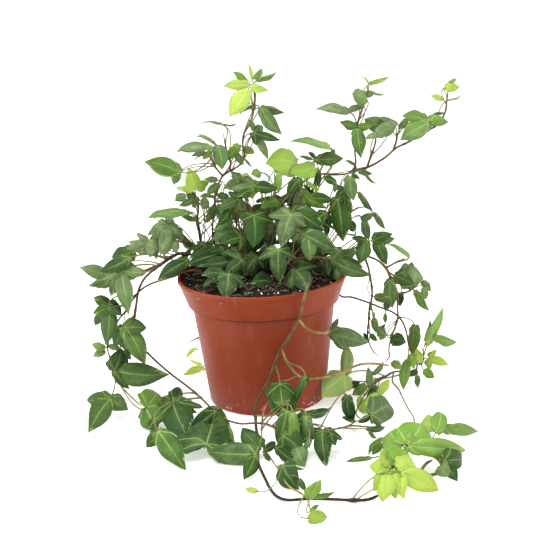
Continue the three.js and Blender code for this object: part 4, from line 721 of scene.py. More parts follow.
def add_signs(sign, operation):
    """Lets a sign between a wire and another value add a node, on whichever side the wire stands."""
    setattr(Wire, f"__{sign}__", lambda wire, other: wire.plan.sum(operation, wire, other))
    setattr(Wire, f"__r{sign}__", lambda wire, other: wire.plan.sum(operation, other, wire))


for sign, operation in {"add": "ADD", "sub": "SUBTRACT", "mul": "MULTIPLY", "truediv": "DIVIDE"}.items():
    add_signs(sign, operation)


class Plan:
    """Writes one node tree."""

    def __init__(self, tree):
        self.tree = tree

    def node(self, kind, settings=None, inputs=None, out=0):
        """Adds a node with its settings, then its inputs by name or number, and gives one of its outputs."""
        made = self.tree.nodes.new(kind)
        for name, value in (settings or {}).items():
            if name == "stops":
                self.set_stops(made.color_ramp, value)
            else:
                setattr(made, name, value)
        for key, value in (inputs or {}).items():
            self.feed(made.inputs[key], value)
        return Wire(self, made.outputs[out]) if made.outputs else made

    def set_stops(self, ramp, stops):
        """Gives a colour ramp its stops, as places and colours."""
        while len(ramp.elements) < len(stops):
            ramp.elements.new(1)
        for element, (place, colour) in zip(ramp.elements, stops):
            element.position = place
            element.color = (*colour, 1)

    def feed(self, socket, value):
        """Links an output to a socket, or sets the socket's own value."""
        if isinstance(value, Wire):
            self.tree.links.new(value.socket, socket)
        elif socket.type == "RGBA" and len(value) == 3:
            socket.default_value = (*value, 1)
        else:
            socket.default_value = value

    def sum(self, operation, one, other):
        """A maths node of two values, or a vector maths node where one of them is a vector."""
        vectors = [isinstance(value, Wire) and value.is_vector for value in (one, other)]
        if not any(vectors):
            return self.node("ShaderNodeMath", {"operation": operation}, {0: one, 1: other})
        if operation == "MULTIPLY" and not all(vectors):
            vector, scale = (one, other) if vectors[0] else (other, one)
            return self.node("ShaderNodeVectorMath", {"operation": "SCALE"}, {0: vector, "Scale": scale})
        return self.node("ShaderNodeVectorMath", {"operation": operation}, {0: one, 1: other})

    def maths(self, operation, *values):
        """A maths node of one, two or three values."""
        return self.node("ShaderNodeMath", {"operation": operation}, dict(enumerate(values)))

    def split(self, vector):
        """A vector's three values."""
        parts = self.node("ShaderNodeSeparateXYZ", inputs={0: vector})
        return parts, parts.out("Y"), parts.out("Z")

    def joined(self, x, y, z):
        """A vector of three values."""
        return self.node("ShaderNodeCombineXYZ", inputs={0: x, 1: y, 2: z})

    def rise(self, value, start, end):
        """0 before start, 1 after end and a smooth rise between them. A fall has its end below its start."""
        inputs = {"Value": value, "From Min": start, "From Max": end}
        if start > end:
            inputs = {"Value": value, "From Min": end, "From Max": start, "To Min": 1, "To Max": 0}
        return self.node("ShaderNodeMapRange", {"interpolation_type": "SMOOTHSTEP"}, inputs)

    def blend(self, factor, one, other):
        """A mix of two colours."""
        return self.node("ShaderNodeMix", {"data_type": "RGBA"}, {0: factor, 6: one, 7: other}, out=2)

    def noise(self, place, scale, detail=3, roughness=0.5):
        """Smooth noise from 0 to 1."""
        inputs = {"Vector": place, "Scale": scale, "Detail": detail, "Roughness": roughness}
        return self.node("ShaderNodeTexNoise", inputs=inputs)


def material_plan(name):
    """A new material, a plan for its nodes and the place of the point that it colours."""
    material = bpy.data.materials.new(name)
    material.use_nodes = True
    material.node_tree.nodes.clear()
    plan = Plan(material.node_tree)
    return material, plan, plan.node("ShaderNodeTexCoord", out="Object")


def finish_surface(plan, colour, roughness, height, relief, gloss):
    """Ends a material's nodes in one shader, with bumps of the given relief in metres."""
    bump = plan.node("ShaderNodeBump", inputs={"Strength": 1, "Distance": relief, "Height": height})
    inputs = {"Base Color": colour, "Roughness": roughness, "Normal": bump, "Specular IOR Level": gloss}
    shader = plan.node("ShaderNodeBsdfPrincipled", inputs=inputs)
    plan.node("ShaderNodeOutputMaterial", inputs={"Surface": shader})


def attribute(plan, name, out="Fac"):
    """A value that the mesh holds, in a material."""
    return plan.node("ShaderNodeAttribute", {"attribute_name": name}, out=out)


def pot_material(looks):
    """Satin moulded plastic with faint mottling, scuffs, dust and lime marks at its foot, and painted shade
    in the crease under the band.
    """
    material, plan, place = material_plan("terracotta_plastic")
    x, y, z = plan.split(place)
    drawn = plan.joined(x, y, z * 0.18)
    mottle = plan.noise(place, 38, 4)
    streaks = plan.noise(drawn, 210, 3, 0.6)
    clay = plan.blend(plan.rise(mottle, 0.32, 0.7) * 0.55, looks.clay, looks.clay_worn)
    clay = plan.blend(plan.rise(streaks, 0.55, 0.8) * 0.16, clay, looks.scuff)
    scuff_field = plan.noise(plan.joined(x * 0.5, y * 0.5, z), 260, 5, 0.72)
    scuffs = plan.rise(scuff_field, 0.66, 0.74) * plan.rise(plan.noise(place, 55, 2), 0.45, 0.62)
    clay = plan.blend(scuffs * 0.4, clay, looks.scuff)
    # Painted shade: a dark line on the body just under the band's overhang, where the overhang shades it.
    crease = (POT_HEIGHT - BAND_HEIGHT - 1) * MM
    over_foot = plan.rise(z, crease - 0.0022, crease - 0.0004)
    crease_shade_line = over_foot * plan.rise(z, crease + 0.0007, crease + 0.0002)
    outside = plan.rise(plan.maths("SQRT", x * x + y * y), (BODY_TOP_RADIUS - 1) * MM, BODY_TOP_RADIUS * MM)
    clay = plan.blend(crease_shade_line * outside * 0.9, clay, looks.painted_crease_shade)
    low = plan.rise(z, 0.012, 0.001)
    lime_field = plan.noise(place, 420, 4, 0.65)
    lime = plan.rise(lime_field, 0.56, 0.66) * low * plan.rise(plan.noise(place, 45, 2), 0.42, 0.58)
    clay = plan.blend(lime * 0.85, clay, looks.lime)
    grain = plan.noise(place, 2600, 2)
    roughness = 0.40 + plan.rise(mottle, 0.3, 0.7) * 0.1 + scuffs * 0.15 + lime * 0.3
    height = grain * 0.35 + streaks * 0.5 + lime * 1.2
    finish_surface(plan, clay, roughness, height, 0.00006, gloss=0.2)
    return material


def compost_material(looks):
    """Dark, moist peat: dull crumbs with browner fibres."""
    material, plan, place = material_plan("compost")
    clumps = plan.noise(place, 160, 5, 0.65)
    fibres = plan.noise(place, 900, 3, 0.7)
    colour = plan.blend(plan.rise(clumps, 0.35, 0.68), looks.peat, looks.peat_dry)
    colour = plan.blend(plan.rise(fibres, 0.62, 0.75) * 0.5, colour, looks.fibre)
    roughness = 0.75 + plan.rise(clumps, 0.4, 0.7) * 0.2
    finish_surface(plan, colour, roughness, clumps + fibres * 0.6, 0.0012, gloss=0.1)
    return material


def bits_material(looks):
    """Bark chips, fibres and white grains that lie on the compost, told apart by their tint."""
    material, plan, place = material_plan("compost_bits")
    tint = attribute(plan, "tint")
    kinds = (looks.peat, looks.peat_dry, looks.bark, looks.fibre, looks.grain)
    colour = plan.node("ShaderNodeValToRGB", {"stops": list(zip(BIT_TINTS, kinds))}, {"Fac": tint})
    stain = plan.noise(place, 700, 3, 0.6)
    colour = plan.blend(plan.rise(stain, 0.4, 0.7) * 0.5, colour, looks.peat)
    finish_surface(plan, colour, 0.7 + stain * 0.25, stain, 0.0004, gloss=0.2)
    return material


def stem_material(looks):
    """Thin bark: brown to purplish, paler and greener on young stems, with fine ridges and pores."""
    material, plan, place = material_plan("ivy_stem")
    pale = attribute(plan, "stem_pale")
    patches = plan.noise(place, 120, 3, 0.6)
    ridges = plan.noise(place, 1500, 2, 0.6)
    bark = plan.blend(plan.rise(patches, 0.4, 0.62), looks.bark, looks.bark_purple)
    young = plan.blend(plan.rise(patches, 0.42, 0.6), looks.young, looks.young_green)
    colour = plan.blend(pale, bark, young)
    pores = plan.node("ShaderNodeTexVoronoi", inputs={"Vector": place, "Scale": 520})
    pores = plan.rise(pores, 0.32, 0.18)
    colour = plan.blend(pores * 0.45, colour, looks.pore)
    colour = plan.blend(plan.rise(ridges, 0.5, 0.75) * 0.12, colour, looks.young)
    roughness = 0.5 + ridges * 0.25
    finish_surface(plan, colour, roughness, ridges + pores * 0.8, 0.00025, gloss=0.15)
    return material


def leaf_material(looks):
    """Leathery blades on slim stalks, from old dark green to young yellow-green. Pale main veins run from the
    foot to each lobe's tip, side veins slant off them, a fine net lies between, and the underside is dull.
    Some blades carry a painted sheen, a pale grey-green in patches that stands in for reflected light, and
    each has a paler edge, partly its own margin and partly painted sheen."""
    material, plan, place = material_plan("ivy_leaf")
    blade_place = attribute(plan, "blade_place", "Vector")
    across, along, skin = plan.split(blade_place)
    youth, chance, sheen = (attribute(plan, f"leaf_{name}") for name in ("youth", "chance", "sheen"))
    stalk = attribute(plan, "is_stalk")
    side_lobe, foot_lobe, _ = plan.split(attribute(plan, "blade_veins", "Vector"))
    under = plan.maths("LESS_THAN", skin, 0)

    # along and off the nearest main vein
    reach = plan.maths("SQRT", across * across + along * along)
    direction = plan.maths("ARCTAN2", plan.maths("ABSOLUTE", across), along)
    to_side = plan.maths("ABSOLUTE", direction - side_lobe)
    to_foot = plan.maths("ABSOLUTE", direction - foot_lobe)
    apart = plan.maths("MINIMUM", direction, plan.maths("MINIMUM", to_side, to_foot))
    off_vein = reach * plan.maths("SINE", apart)
    up_vein = reach * plan.maths("COSINE", apart)
    thin = 1 - plan.rise(reach, 0.1, 1.0) * 0.75
    wander = (plan.noise(blade_place + chance * 7, 5, 2) - 0.5) * 0.012
    main_vein = plan.rise((off_vein + wander) / thin, 0.02, 0.006)
    halo = plan.rise(off_vein / thin, 0.1, 0.01)

    # side veins slant off the main ones, and a net of fine veins fills the rest
    slant = plan.maths("PINGPONG", up_vein - off_vein * 1.15 + wander * 3 + chance, 0.065)
    side_vein = plan.rise(slant, 0.011, 0.002) * plan.rise(off_vein, 0.005, 0.03)
    mesh_place = {"Vector": blade_place * 24 + chance * 40, "Scale": 1}
    net = plan.node("ShaderNodeTexVoronoi", {"feature": "DISTANCE_TO_EDGE"}, mesh_place)
    net = plan.rise(net, 0.09, 0.02)

    # colours
    stops = [(0, looks.old), (0.3, looks.grown), (0.62, looks.fresh), (1, looks.young)]
    blotches = plan.noise(place + chance * 3, 95, 4, 0.6)
    age = youth + (chance - 0.5) * 0.1 + (blotches - 0.5) * 0.22
    green = plan.node("ShaderNodeValToRGB", {"stops": stops}, {"Fac": age})
    green = plan.blend(plan.rise(chance, 0.4, 1.0) * 0.2 * (1 - youth), green, looks.blue_green)
    pale = plan.blend(youth, looks.vein, looks.young_vein)
    green = plan.blend(halo * 0.07, green, pale)
    green = plan.blend(net * 0.07 + side_vein * 0.15, green, pale)
    # Paler, fresher patches: partly the blade's own mottling, partly painted sheen. They also spread the
    # painted sheen below.
    patches = plan.rise(plan.noise(blade_place + chance * 9, 3, 3, 0.6), 0.46, 0.7)
    green = plan.blend(patches * 0.2 * (1 - youth), green, looks.fresh)
    # Painted sheen: a pale grey-green that stands in for the light a glossy blade reflects, partly the
    # blade's own paleness.
    green = plan.blend(sheen * (0.35 + patches * 0.35), green, looks.sheen)
    green = plan.blend(main_vein * 0.55, green, pale)
    # Paler edge: partly the blade's own margin, partly painted sheen along it.
    rim = 1 - plan.maths("ABSOLUTE", skin)
    green = plan.blend(plan.rise(rim, 0.85, 1.0) * 0.22, green, pale)
    dull = plan.blend(youth, looks.underside, looks.young_underside)
    dull = plan.blend(main_vein * 0.6 + side_vein * 0.3, dull, pale)
    green = plan.blend(under * 0.8, green, dull)
    stalk_tone = plan.rise(plan.noise(place, 60, 2), 0.4, 0.65)
    stalk_colour = plan.blend(stalk_tone, looks.stalk, looks.stalk_red)
    stalk_colour = plan.blend(youth * 0.6, stalk_colour, looks.fresh)
    green = plan.blend(stalk, green, stalk_colour)

    satin = 0.36 + plan.noise(place, 240, 3) * 0.16 + under * 0.28 + main_vein * 0.1
    height = blotches * 0.5 - main_vein * 0.9 - side_vein * 0.5 - net * 0.22
    height = height * (1 - under * 1.8) * (1 - stalk)
    finish_surface(plan, green, satin, height, 0.0004, gloss=0.16)
    return material


def floor_material(looks):
    """Smooth white studio paper."""
    material, plan, place = material_plan("studio_paper")
    tooth = plan.noise(place, 900, 2)
    bump = plan.node("ShaderNodeBump", inputs={"Strength": 0.2, "Distance": 0.0001, "Height": tooth})
    inputs = {"Base Color": looks.floor, "Roughness": 0.9, "Normal": bump}
    glow = {"Emission Color": looks.floor, "Emission Strength": looks.floor_glow}
    shader = plan.node("ShaderNodeBsdfPrincipled", inputs={**inputs, **glow})
    plan.node("ShaderNodeOutputMaterial", inputs={"Surface": shader})
    return material


# Meshes and geometry trees.

def new_object(name, mesh):
    """Puts a mesh into the scene at the origin."""
    made = bpy.data.objects.new(name, mesh)
    bpy.context.scene.collection.objects.link(made)
    return made


def finished_mesh(name, work, smooth=False):
    """The mesh of the faces that were worked on."""
    for face in work.faces:
        face.smooth = smooth
    mesh = bpy.data.meshes.new(name)
    work.to_mesh(mesh)
    work.free()
    return mesh


def write_values(mesh, name, kind, values):
    """Gives each point of a mesh a named value or vector."""
    layer = mesh.attributes.new(name, kind, "POINT")
    if kind == "FLOAT_VECTOR":
        layer.data.foreach_set("vector", [number for value in values for number in value])
    else:
        layer.data.foreach_set("value", values)


def geometry_plan(name, inputs):
    """A plan for a geometry tree with named inputs, which it gives as outputs to use."""
    tree = bpy.data.node_groups.new(name, "GeometryNodeTree")
    tree.interface.new_socket("Geometry", in_out="INPUT", socket_type="NodeSocketGeometry")
    for label, kind in inputs.items():
        tree.interface.new_socket(label, in_out="INPUT", socket_type=kind)
    tree.interface.new_socket("Geometry", in_out="OUTPUT", socket_type="NodeSocketGeometry")
    plan = Plan(tree)
    given = plan.node("NodeGroupInput")
    return plan, {label: given.out(label) for label in ("Geometry", *inputs)}


def end_tree(plan, parts, finish):
    """Joins the parts and ends a geometry tree in Realize Instances and Set Material."""
    joined = plan.node("GeometryNodeJoinGeometry")
    for part in parts:
        plan.feed(joined.socket.node.inputs[0], part)
    real = plan.node("GeometryNodeRealizeInstances", inputs={"Geometry": joined})
    done = plan.node("GeometryNodeSetMaterial", inputs={"Geometry": real, "Material": finish})
    plan.node("NodeGroupOutput", inputs={"Geometry": done})
    return plan.tree


def named(plan, name, kind="FLOAT"):
    """A value that the mesh holds, in a geometry tree."""
    return plan.node("GeometryNodeInputNamedAttribute", {"data_type": kind}, {"Name": name})


def grown(name, mesh, tree, values):
    """The plain mesh that a geometry tree makes of a mesh, as a new object."""
    source = new_object("seed", mesh)
    modifier = source.modifiers.new("growth", "NODES")
    modifier.node_group = tree
    for item in tree.interface.items_tree:
        if item.in_out == "INPUT" and item.name in values:
            modifier[item.identifier] = values[item.name]
    depsgraph = bpy.context.evaluated_depsgraph_get()
    done = bpy.data.meshes.new_from_object(
        source.evaluated_get(depsgraph), preserve_all_data_layers=True, depsgraph=depsgraph
    )
    done.name = name
    bpy.data.objects.remove(source)
    bpy.data.meshes.remove(mesh)
    return new_object(name, done)


def swept_along(plan, geometry, radius, sides):
    """Round tubes along the edges of a mesh."""
    line = plan.node("GeometryNodeMeshToCurve", inputs={"Mesh": geometry})
    ring = plan.node("GeometryNodeCurvePrimitiveCircle", inputs={"Resolution": sides, "Radius": 1})
    inputs = {"Curve": line, "Profile Curve": ring, "Scale": radius, "Fill Caps": True}
    tube = plan.node("GeometryNodeCurveToMesh", inputs=inputs)
    return plan.node("GeometryNodeSetShadeSmooth", inputs={"Geometry": tube})


def leaf_tree():
    """Sets a blade on each leaf's place, bows it, lays it on the surface that it meets, and adds stalks."""
    plan, given = geometry_plan("Ivy leaves", {
        "Blade outlines": "NodeSocketCollection",
        "Blade thickness": "NodeSocketFloat",
        "Lowest": "NodeSocketFloat",
        "Stalk sides": "NodeSocketInt",
        "Finish": "NodeSocketMaterial",
    })
    settings = {"transform_space": "ORIGINAL"}
    inputs = {"Collection": given["Blade outlines"], "Separate Children": True, "Reset Children": True}
    outlines = plan.node("GeometryNodeCollectionInfo", settings, inputs)
    blades = plan.node("GeometryNodeInstanceOnPoints", inputs={
        "Points": given["Geometry"],
        "Selection": named(plan, "is_leaf", "BOOLEAN"),
        "Instance": outlines,
        "Pick Instance": True,
        "Instance Index": named(plan, "leaf_outline", "INT"),
    })
    blades = plan.node("GeometryNodeRealizeInstances", inputs={"Geometry": blades})

    across, along, skin = plan.split(named(plan, "blade_place", "FLOAT_VECTOR"))
    arch, fold, twist = plan.split(named(plan, "leaf_bow", "FLOAT_VECTOR"))
    curl, wave, start = plan.split(named(plan, "leaf_wave", "FLOAT_VECTOR"))
    side, midrib, face = (named(plan, f"leaf_{way}", "FLOAT_VECTOR") for way in ("side", "midrib", "face"))
    droop_right, droop_left, sweep = plan.split(named(plan, "leaf_hang", "FLOAT_VECTOR"))
    length = named(plan, "leaf_length")
    wide = across * named(plan, "leaf_width")
    out_right = plan.maths("MAXIMUM", wide - 0.12, 0)
    out_left = plan.maths("MAXIMUM", -wide - 0.12, 0)
    past_middle = plan.maths("MAXIMUM", along - 0.55, 0)
    ripple = plan.maths("SINE", along * 11 + start) * plan.maths("ABSOLUTE", wide)
    lift = arch * along * (1 - along) - fold * wide * wide + twist * wide * along
    lift = lift + named(plan, "blade_puff") + wave * ripple - curl * past_middle * past_middle
    lift = lift - droop_right * out_right - droop_left * out_left
    aside = wide + sweep * along * (1 - along)
    middle = named(plan, "leaf_foot", "FLOAT_VECTOR") + side * (aside * length) + midrib * (along * length)
    middle = middle + face * (lift * length)
    reach, depth, height = plan.split(middle)
    middle = plan.joined(reach, depth, plan.maths("MAXIMUM", height, given["Lowest"]))
    place = middle + face * (skin * given["Blade thickness"] * 0.5)
    blades = plan.node("GeometryNodeSetPosition", inputs={"Geometry": blades, "Position": place})

    stalks = swept_along(plan, given["Geometry"], named(plan, "stalk_radius"), given["Stalk sides"])
    return end_tree(plan, (blades, stalks), given["Finish"])


def stem_tree():
    """Round stems along their paths, with short rootlets where they have any."""
    plan, given = geometry_plan("Ivy stems", {
        "Rootlet": "NodeSocketObject",
        "Stem sides": "NodeSocketInt",
        "Finish": "NodeSocketMaterial",
    })
    stems = swept_along(plan, given["Geometry"], named(plan, "stem_radius"), given["Stem sides"])
    rootlet = plan.node("GeometryNodeObjectInfo", inputs={"Object": given["Rootlet"]}, out="Geometry")
    turn = plan.node("FunctionNodeEulerToRotation", inputs={0: named(plan, "rootlet_turn", "FLOAT_VECTOR")})
    rootlets = plan.node("GeometryNodeInstanceOnPoints", inputs={
        "Points": given["Geometry"],
        "Selection": named(plan, "has_rootlet", "BOOLEAN"),
        "Instance": rootlet,
        "Rotation": turn,
    })
    return end_tree(plan, (stems, rootlets), given["Finish"])


def bits_tree():
    """Strews bits over the compost, turned and sized by chance."""
    plan, given = geometry_plan("Compost bits", {
        "Bit shapes": "NodeSocketCollection",
        "Bits in a square metre": "NodeSocketFloat",
        "Seed": "NodeSocketInt",
        "Finish": "NodeSocketMaterial",
    })
    inputs = {"Mesh": given["Geometry"], "Density": given["Bits in a square metre"], "Seed": given["Seed"]}
    points = plan.node("GeometryNodeDistributePointsOnFaces", inputs=inputs)
    settings = {"transform_space": "ORIGINAL"}
    inputs = {"Collection": given["Bit shapes"], "Separate Children": True, "Reset Children": True}
    shapes = plan.node("GeometryNodeCollectionInfo", settings, inputs)
    whole_turn = {0: (-0.5, -0.5, 0.0), 1: (0.5, 0.5, math.tau), "Seed": 3}
    turn = plan.node("FunctionNodeRandomValue", {"data_type": "FLOAT_VECTOR"}, whole_turn)
    size = plan.node("FunctionNodeRandomValue", inputs={2: 0.5, 3: 1.5, "Seed": 5}, out=1)
    bits = plan.node("GeometryNodeInstanceOnPoints", inputs={
        "Points": points,
        "Instance": shapes,
        "Pick Instance": True,
        "Rotation": plan.node("FunctionNodeEulerToRotation", inputs={0: turn}),
        "Scale": size,
    })
    return end_tree(plan, [bits], given["Finish"])


def lobe_radius(lobes, lean, direction):
    """How far a blade reaches from its foot in a direction, 0 along the midrib and growing to the right."""
    total = 0
    for place, length, spread, bluntness in lobes:
        for sign in (1, -1) if place else (1,):
            apart = abs((direction - sign * math.radians(place) + math.pi) % math.tau - math.pi)
            reach = length * (1 + sign * lean if place else 1)
            total += (reach * max(0, 1 - (apart / math.radians(spread)) ** bluntness)) ** LOBE_MELT
    notch = NOTCH_DEPTH * math.exp(-(((math.pi - abs(direction)) / NOTCH_WIDTH) ** 2))
    return total ** (1 / LOBE_MELT) * (1 - notch)


def outline_directions(lobes, lean, steps, sign):
    """The directions of the outline's points on one side, even between the lobes' tips and hollows."""
    def radius(direction):
        return lobe_radius(lobes, lean, sign * direction)

    tips = [math.radians(lobe[0]) for lobe in lobes]
    keys = [0]
    for tip, following in zip(tips, tips[1:]):
        between = [tip + (following - tip) * share / 60 for share in range(10, 50)]
        keys += [min(between, key=radius), following]
    keys.append(math.pi)
    directions = []
    for start, end, count in zip(keys, keys[1:], steps):
        fine = [start + (end - start) * share / 80 for share in range(81)]
        spots = [Vector((radius(way) * math.sin(way), radius(way) * math.cos(way))) for way in fine]
        runs = [0]
        for one, other in zip(spots, spots[1:]):
            runs.append(runs[-1] + (other - one).length)
        for step in range(count):
            wanted = runs[-1] * step / count
            directions.append(fine[next(i for i, run in enumerate(runs) if run >= wanted)])
    return directions


def blade_mesh(name, lobes, lean, steps, rings):
    """A thin closed blade one unit long: rings of points about its foot on the upper and the lower side,
    which meet at the edge. It bulges between its main veins, as the puff of its points says."""
    right = outline_directions(lobes, lean, steps, 1)
    left = [-way for way in outline_directions(lobes, lean, steps, -1)[1:]]
    directions = right + [math.pi] + left[::-1]
    tips = sorted({sign * math.radians(lobe[0]) for lobe in lobes for sign in (1, -1)} | {math.pi, -math.pi})
    work = bmesh.new()
    place_layer = work.verts.layers.float_vector.new("blade_place")
    puff_layer = work.verts.layers.float.new("blade_puff")

    def add_point(share, direction, skin):
        reach = share * lobe_radius(lobes, lean, direction)
        across, along = reach * math.sin(direction), reach * math.cos(direction)
        before = max(tip for tip in tips if tip <= direction + MM)
        after = min(tip for tip in tips if tip > direction + MM) if direction < math.pi - MM else before + 1
        swell = abs(math.sin(math.pi * (direction - before) / (after - before)))
        vertex = work.verts.new((across, along, 0))
        vertex[place_layer] = (across, along, skin)
        puff = BLADE_PUFF * swell * share * (1 - 0.8 * share)
        vertex[puff_layer] = puff - BLADE_CREASE * (1 - swell) * share
        return vertex

    edge = [add_point(1, way, 0) for way in directions]
    for skin in (1, -1):
        foot = add_point(0, 0, skin)
        inner = [[add_point(share, way, skin) for way in directions] for share in rings[:-1]] + [edge]
        for turn in range(len(directions)):
            following = (turn + 1) % len(directions)
            corners = [foot, inner[0][following], inner[0][turn]]
            work.faces.new(corners if skin > 0 else corners[::-1])
            for ring, outer in zip(inner, inner[1:]):
                corners = [ring[turn], ring[following], outer[following], outer[turn]]
                work.faces.new(corners if skin > 0 else corners[::-1])
    for one, other in zip(edge, edge[1:] + edge[:1]):
        work.edges.get((one, other)).smooth = False
    mesh = finished_mesh(name, work, smooth=True)
    veins = (math.radians(lobes[1][0]), math.radians(lobes[2][0]), 0)
    write_values(mesh, "blade_veins", "FLOAT_VECTOR", [veins] * len(mesh.vertices))
    return mesh


def shape_collection(name, meshes):
    """A collection of shapes to repeat, which isn't part of the scene."""
    shapes = bpy.data.collections.new(name)
    for number, mesh in enumerate(meshes):
        shapes.objects.link(bpy.data.objects.new(f"{name}_{number:02}", mesh))
    return shapes


def clear_shapes(shapes):
    """Removes the shapes once they have been repeated."""
    for shape in list(shapes.objects):
        bpy.data.objects.remove(shape)
    bpy.data.collections.remove(shapes)


# Pieces.

def finish_piece(piece, nodes):
    """Hands a finished piece to the frame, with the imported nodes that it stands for."""
    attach(piece, BODY)
    if nodes:
        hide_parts(*nodes)


def rounded(profile, radius, steps=4):
    """A profile with its inner corners rounded, each no wider than half of its shorter side."""
    points = [Vector(profile[0])]
    for before, corner, after in zip(profile, profile[1:], profile[2:]):
        before, corner, after = Vector(before), Vector(corner), Vector(after)
        reach = min(radius, (before - corner).length * 0.45, (after - corner).length * 0.45)
        start = corner + (before - corner).normalized() * reach
        end = corner + (after - corner).normalized() * reach
        for step in range(steps + 1):
            t = step / steps
            points.append((1 - t) ** 2 * start + 2 * t * (1 - t) * corner + t**2 * end)
    points.append(Vector(profile[-1]))
    return points


def revolved(name, profile, sides):
    """A closed mesh of a profile of radius and height turned about the upright axis, from pole to pole."""
    work = bmesh.new()
    bottom = work.verts.new((0, 0, profile[0][1] * MM))
    top = work.verts.new((0, 0, profile[-1][1] * MM))
    rings = []
    for radius, height in profile[1:-1]:
        angles = [math.tau * side / sides for side in range(sides)]
        rings.append([
            work.verts.new((radius * MM * math.cos(angle), radius * MM * math.sin(angle), height * MM))
            for angle in angles
        ])
    for side in range(sides):
        following = (side + 1) % sides
        work.faces.new((bottom, rings[0][following], rings[0][side]))
        for lower, upper in zip(rings, rings[1:]):
            work.faces.new((lower[side], lower[following], upper[following], upper[side]))
        work.faces.new((rings[-1][side], rings[-1][following], top))
    return finished_mesh(name, work, smooth=True)


def pot_profile():
    """The pot's section, from the middle of its underside over the lip to the middle of its floor."""
    step_top = POT_HEIGHT - BAND_HEIGHT
    lip_foot = POT_HEIGHT - LIP_HEIGHT
    outside = [
        (0, 0),
        (BASE_RADIUS - BASE_CHAMFER, 0),
        (BASE_RADIUS, BASE_CHAMFER),
        (BODY_TOP_RADIUS, step_top - STEP_HEIGHT),
        (BODY_TOP_RADIUS - 0.3, step_top - 1.6),
        (BAND_FOOT_RADIUS - 0.4, step_top - 1.2),
        (BAND_FOOT_RADIUS + 0.15, step_top + 1.2),
        (RIM_RADIUS - LIP_BULGE - 0.25, lip_foot - 0.5),
        (RIM_RADIUS - 0.1, lip_foot + 0.2),
        (RIM_RADIUS, POT_HEIGHT - LIP_HEIGHT / 2),
        (RIM_RADIUS - 0.4, POT_HEIGHT),
    ]
    inside = [
        (RIM_RADIUS - LIP_BULGE - WALL, POT_HEIGHT),
        (RIM_RADIUS - LIP_BULGE - WALL, lip_foot),
        (BAND_FOOT_RADIUS - WALL, step_top + WALL),
        (BODY_TOP_RADIUS - WALL, step_top - STEP_HEIGHT + WALL),
        (BASE_RADIUS - WALL, FLOOR),
        (0, FLOOR),
    ]
    return rounded(outside + inside, 0.9)


def make_pot(looks):
    """The moulded pot, with drain holes through its floor."""
    pot = new_object("nursery_pot", revolved("nursery_pot", pot_profile(), POT_SIDES))
    work = bmesh.new()
    for number in range(DRAIN_HOLES):
        angle = math.tau * number / DRAIN_HOLES
        place = Vector((math.cos(angle), math.sin(angle), 0)) * DRAIN_RING_RADIUS * MM
        radius = DRAIN_HOLE_RADIUS * MM
        bmesh.ops.create_cone(
            work, cap_ends=True, segments=looks.hole_sides, radius1=radius, radius2=radius,
            depth=4 * FLOOR * MM, matrix=Matrix.Translation(place),
        )
    drill = new_object("drill", finished_mesh("drill", work))
    cut = pot.modifiers.new("drain_holes", "BOOLEAN")
    cut.object = drill
    cut.solver = "EXACT"
    depsgraph = bpy.context.evaluated_depsgraph_get()
    drilled = bpy.data.meshes.new_from_object(pot.evaluated_get(depsgraph))
    pot.modifiers.clear()
    pot.data = drilled
    bpy.data.objects.remove(drill)
    pot.data.materials.clear()
    pot.data.materials.append(pot_material(looks))
    finish_piece(pot, ["pot"])


def soil_radius(height):
    """The compost's radius at a height, a little inside the pot's wall."""
    step_top = POT_HEIGHT - BAND_HEIGHT
    wall = [
        (FLOOR, BASE_RADIUS),
        (step_top - STEP_HEIGHT + WALL, BODY_TOP_RADIUS),
        (step_top + WALL, BAND_FOOT_RADIUS),
        (POT_HEIGHT - LIP_HEIGHT, RIM_RADIUS - LIP_BULGE),
    ]
    for (low, narrow), (high, broad) in zip(wall, wall[1:]):
        if height <= high:
            share = max(0, (height - low) / (high - low))
            return narrow + (broad - narrow) * share - WALL - SOIL_GAP
    return wall[-1][1] - WALL - SOIL_GAP


def soil_height(x, y, lumps):
    """The crumbly top of the compost, heaped a little in the middle."""
    share = min(1, math.hypot(x, y) / soil_radius(SOIL_EDGE_HEIGHT))
    heap = SOIL_EDGE_HEIGHT + (SOIL_MIDDLE_HEIGHT - SOIL_EDGE_HEIGHT) * (1 - share**3)
    coarse = noise.noise(Vector((x, y, 0)) * COARSE_LUMPS)
    fine = noise.noise(Vector((x, y, 9)) * FINE_LUMPS)
    return heap + lumps * (coarse + 0.6 * fine)


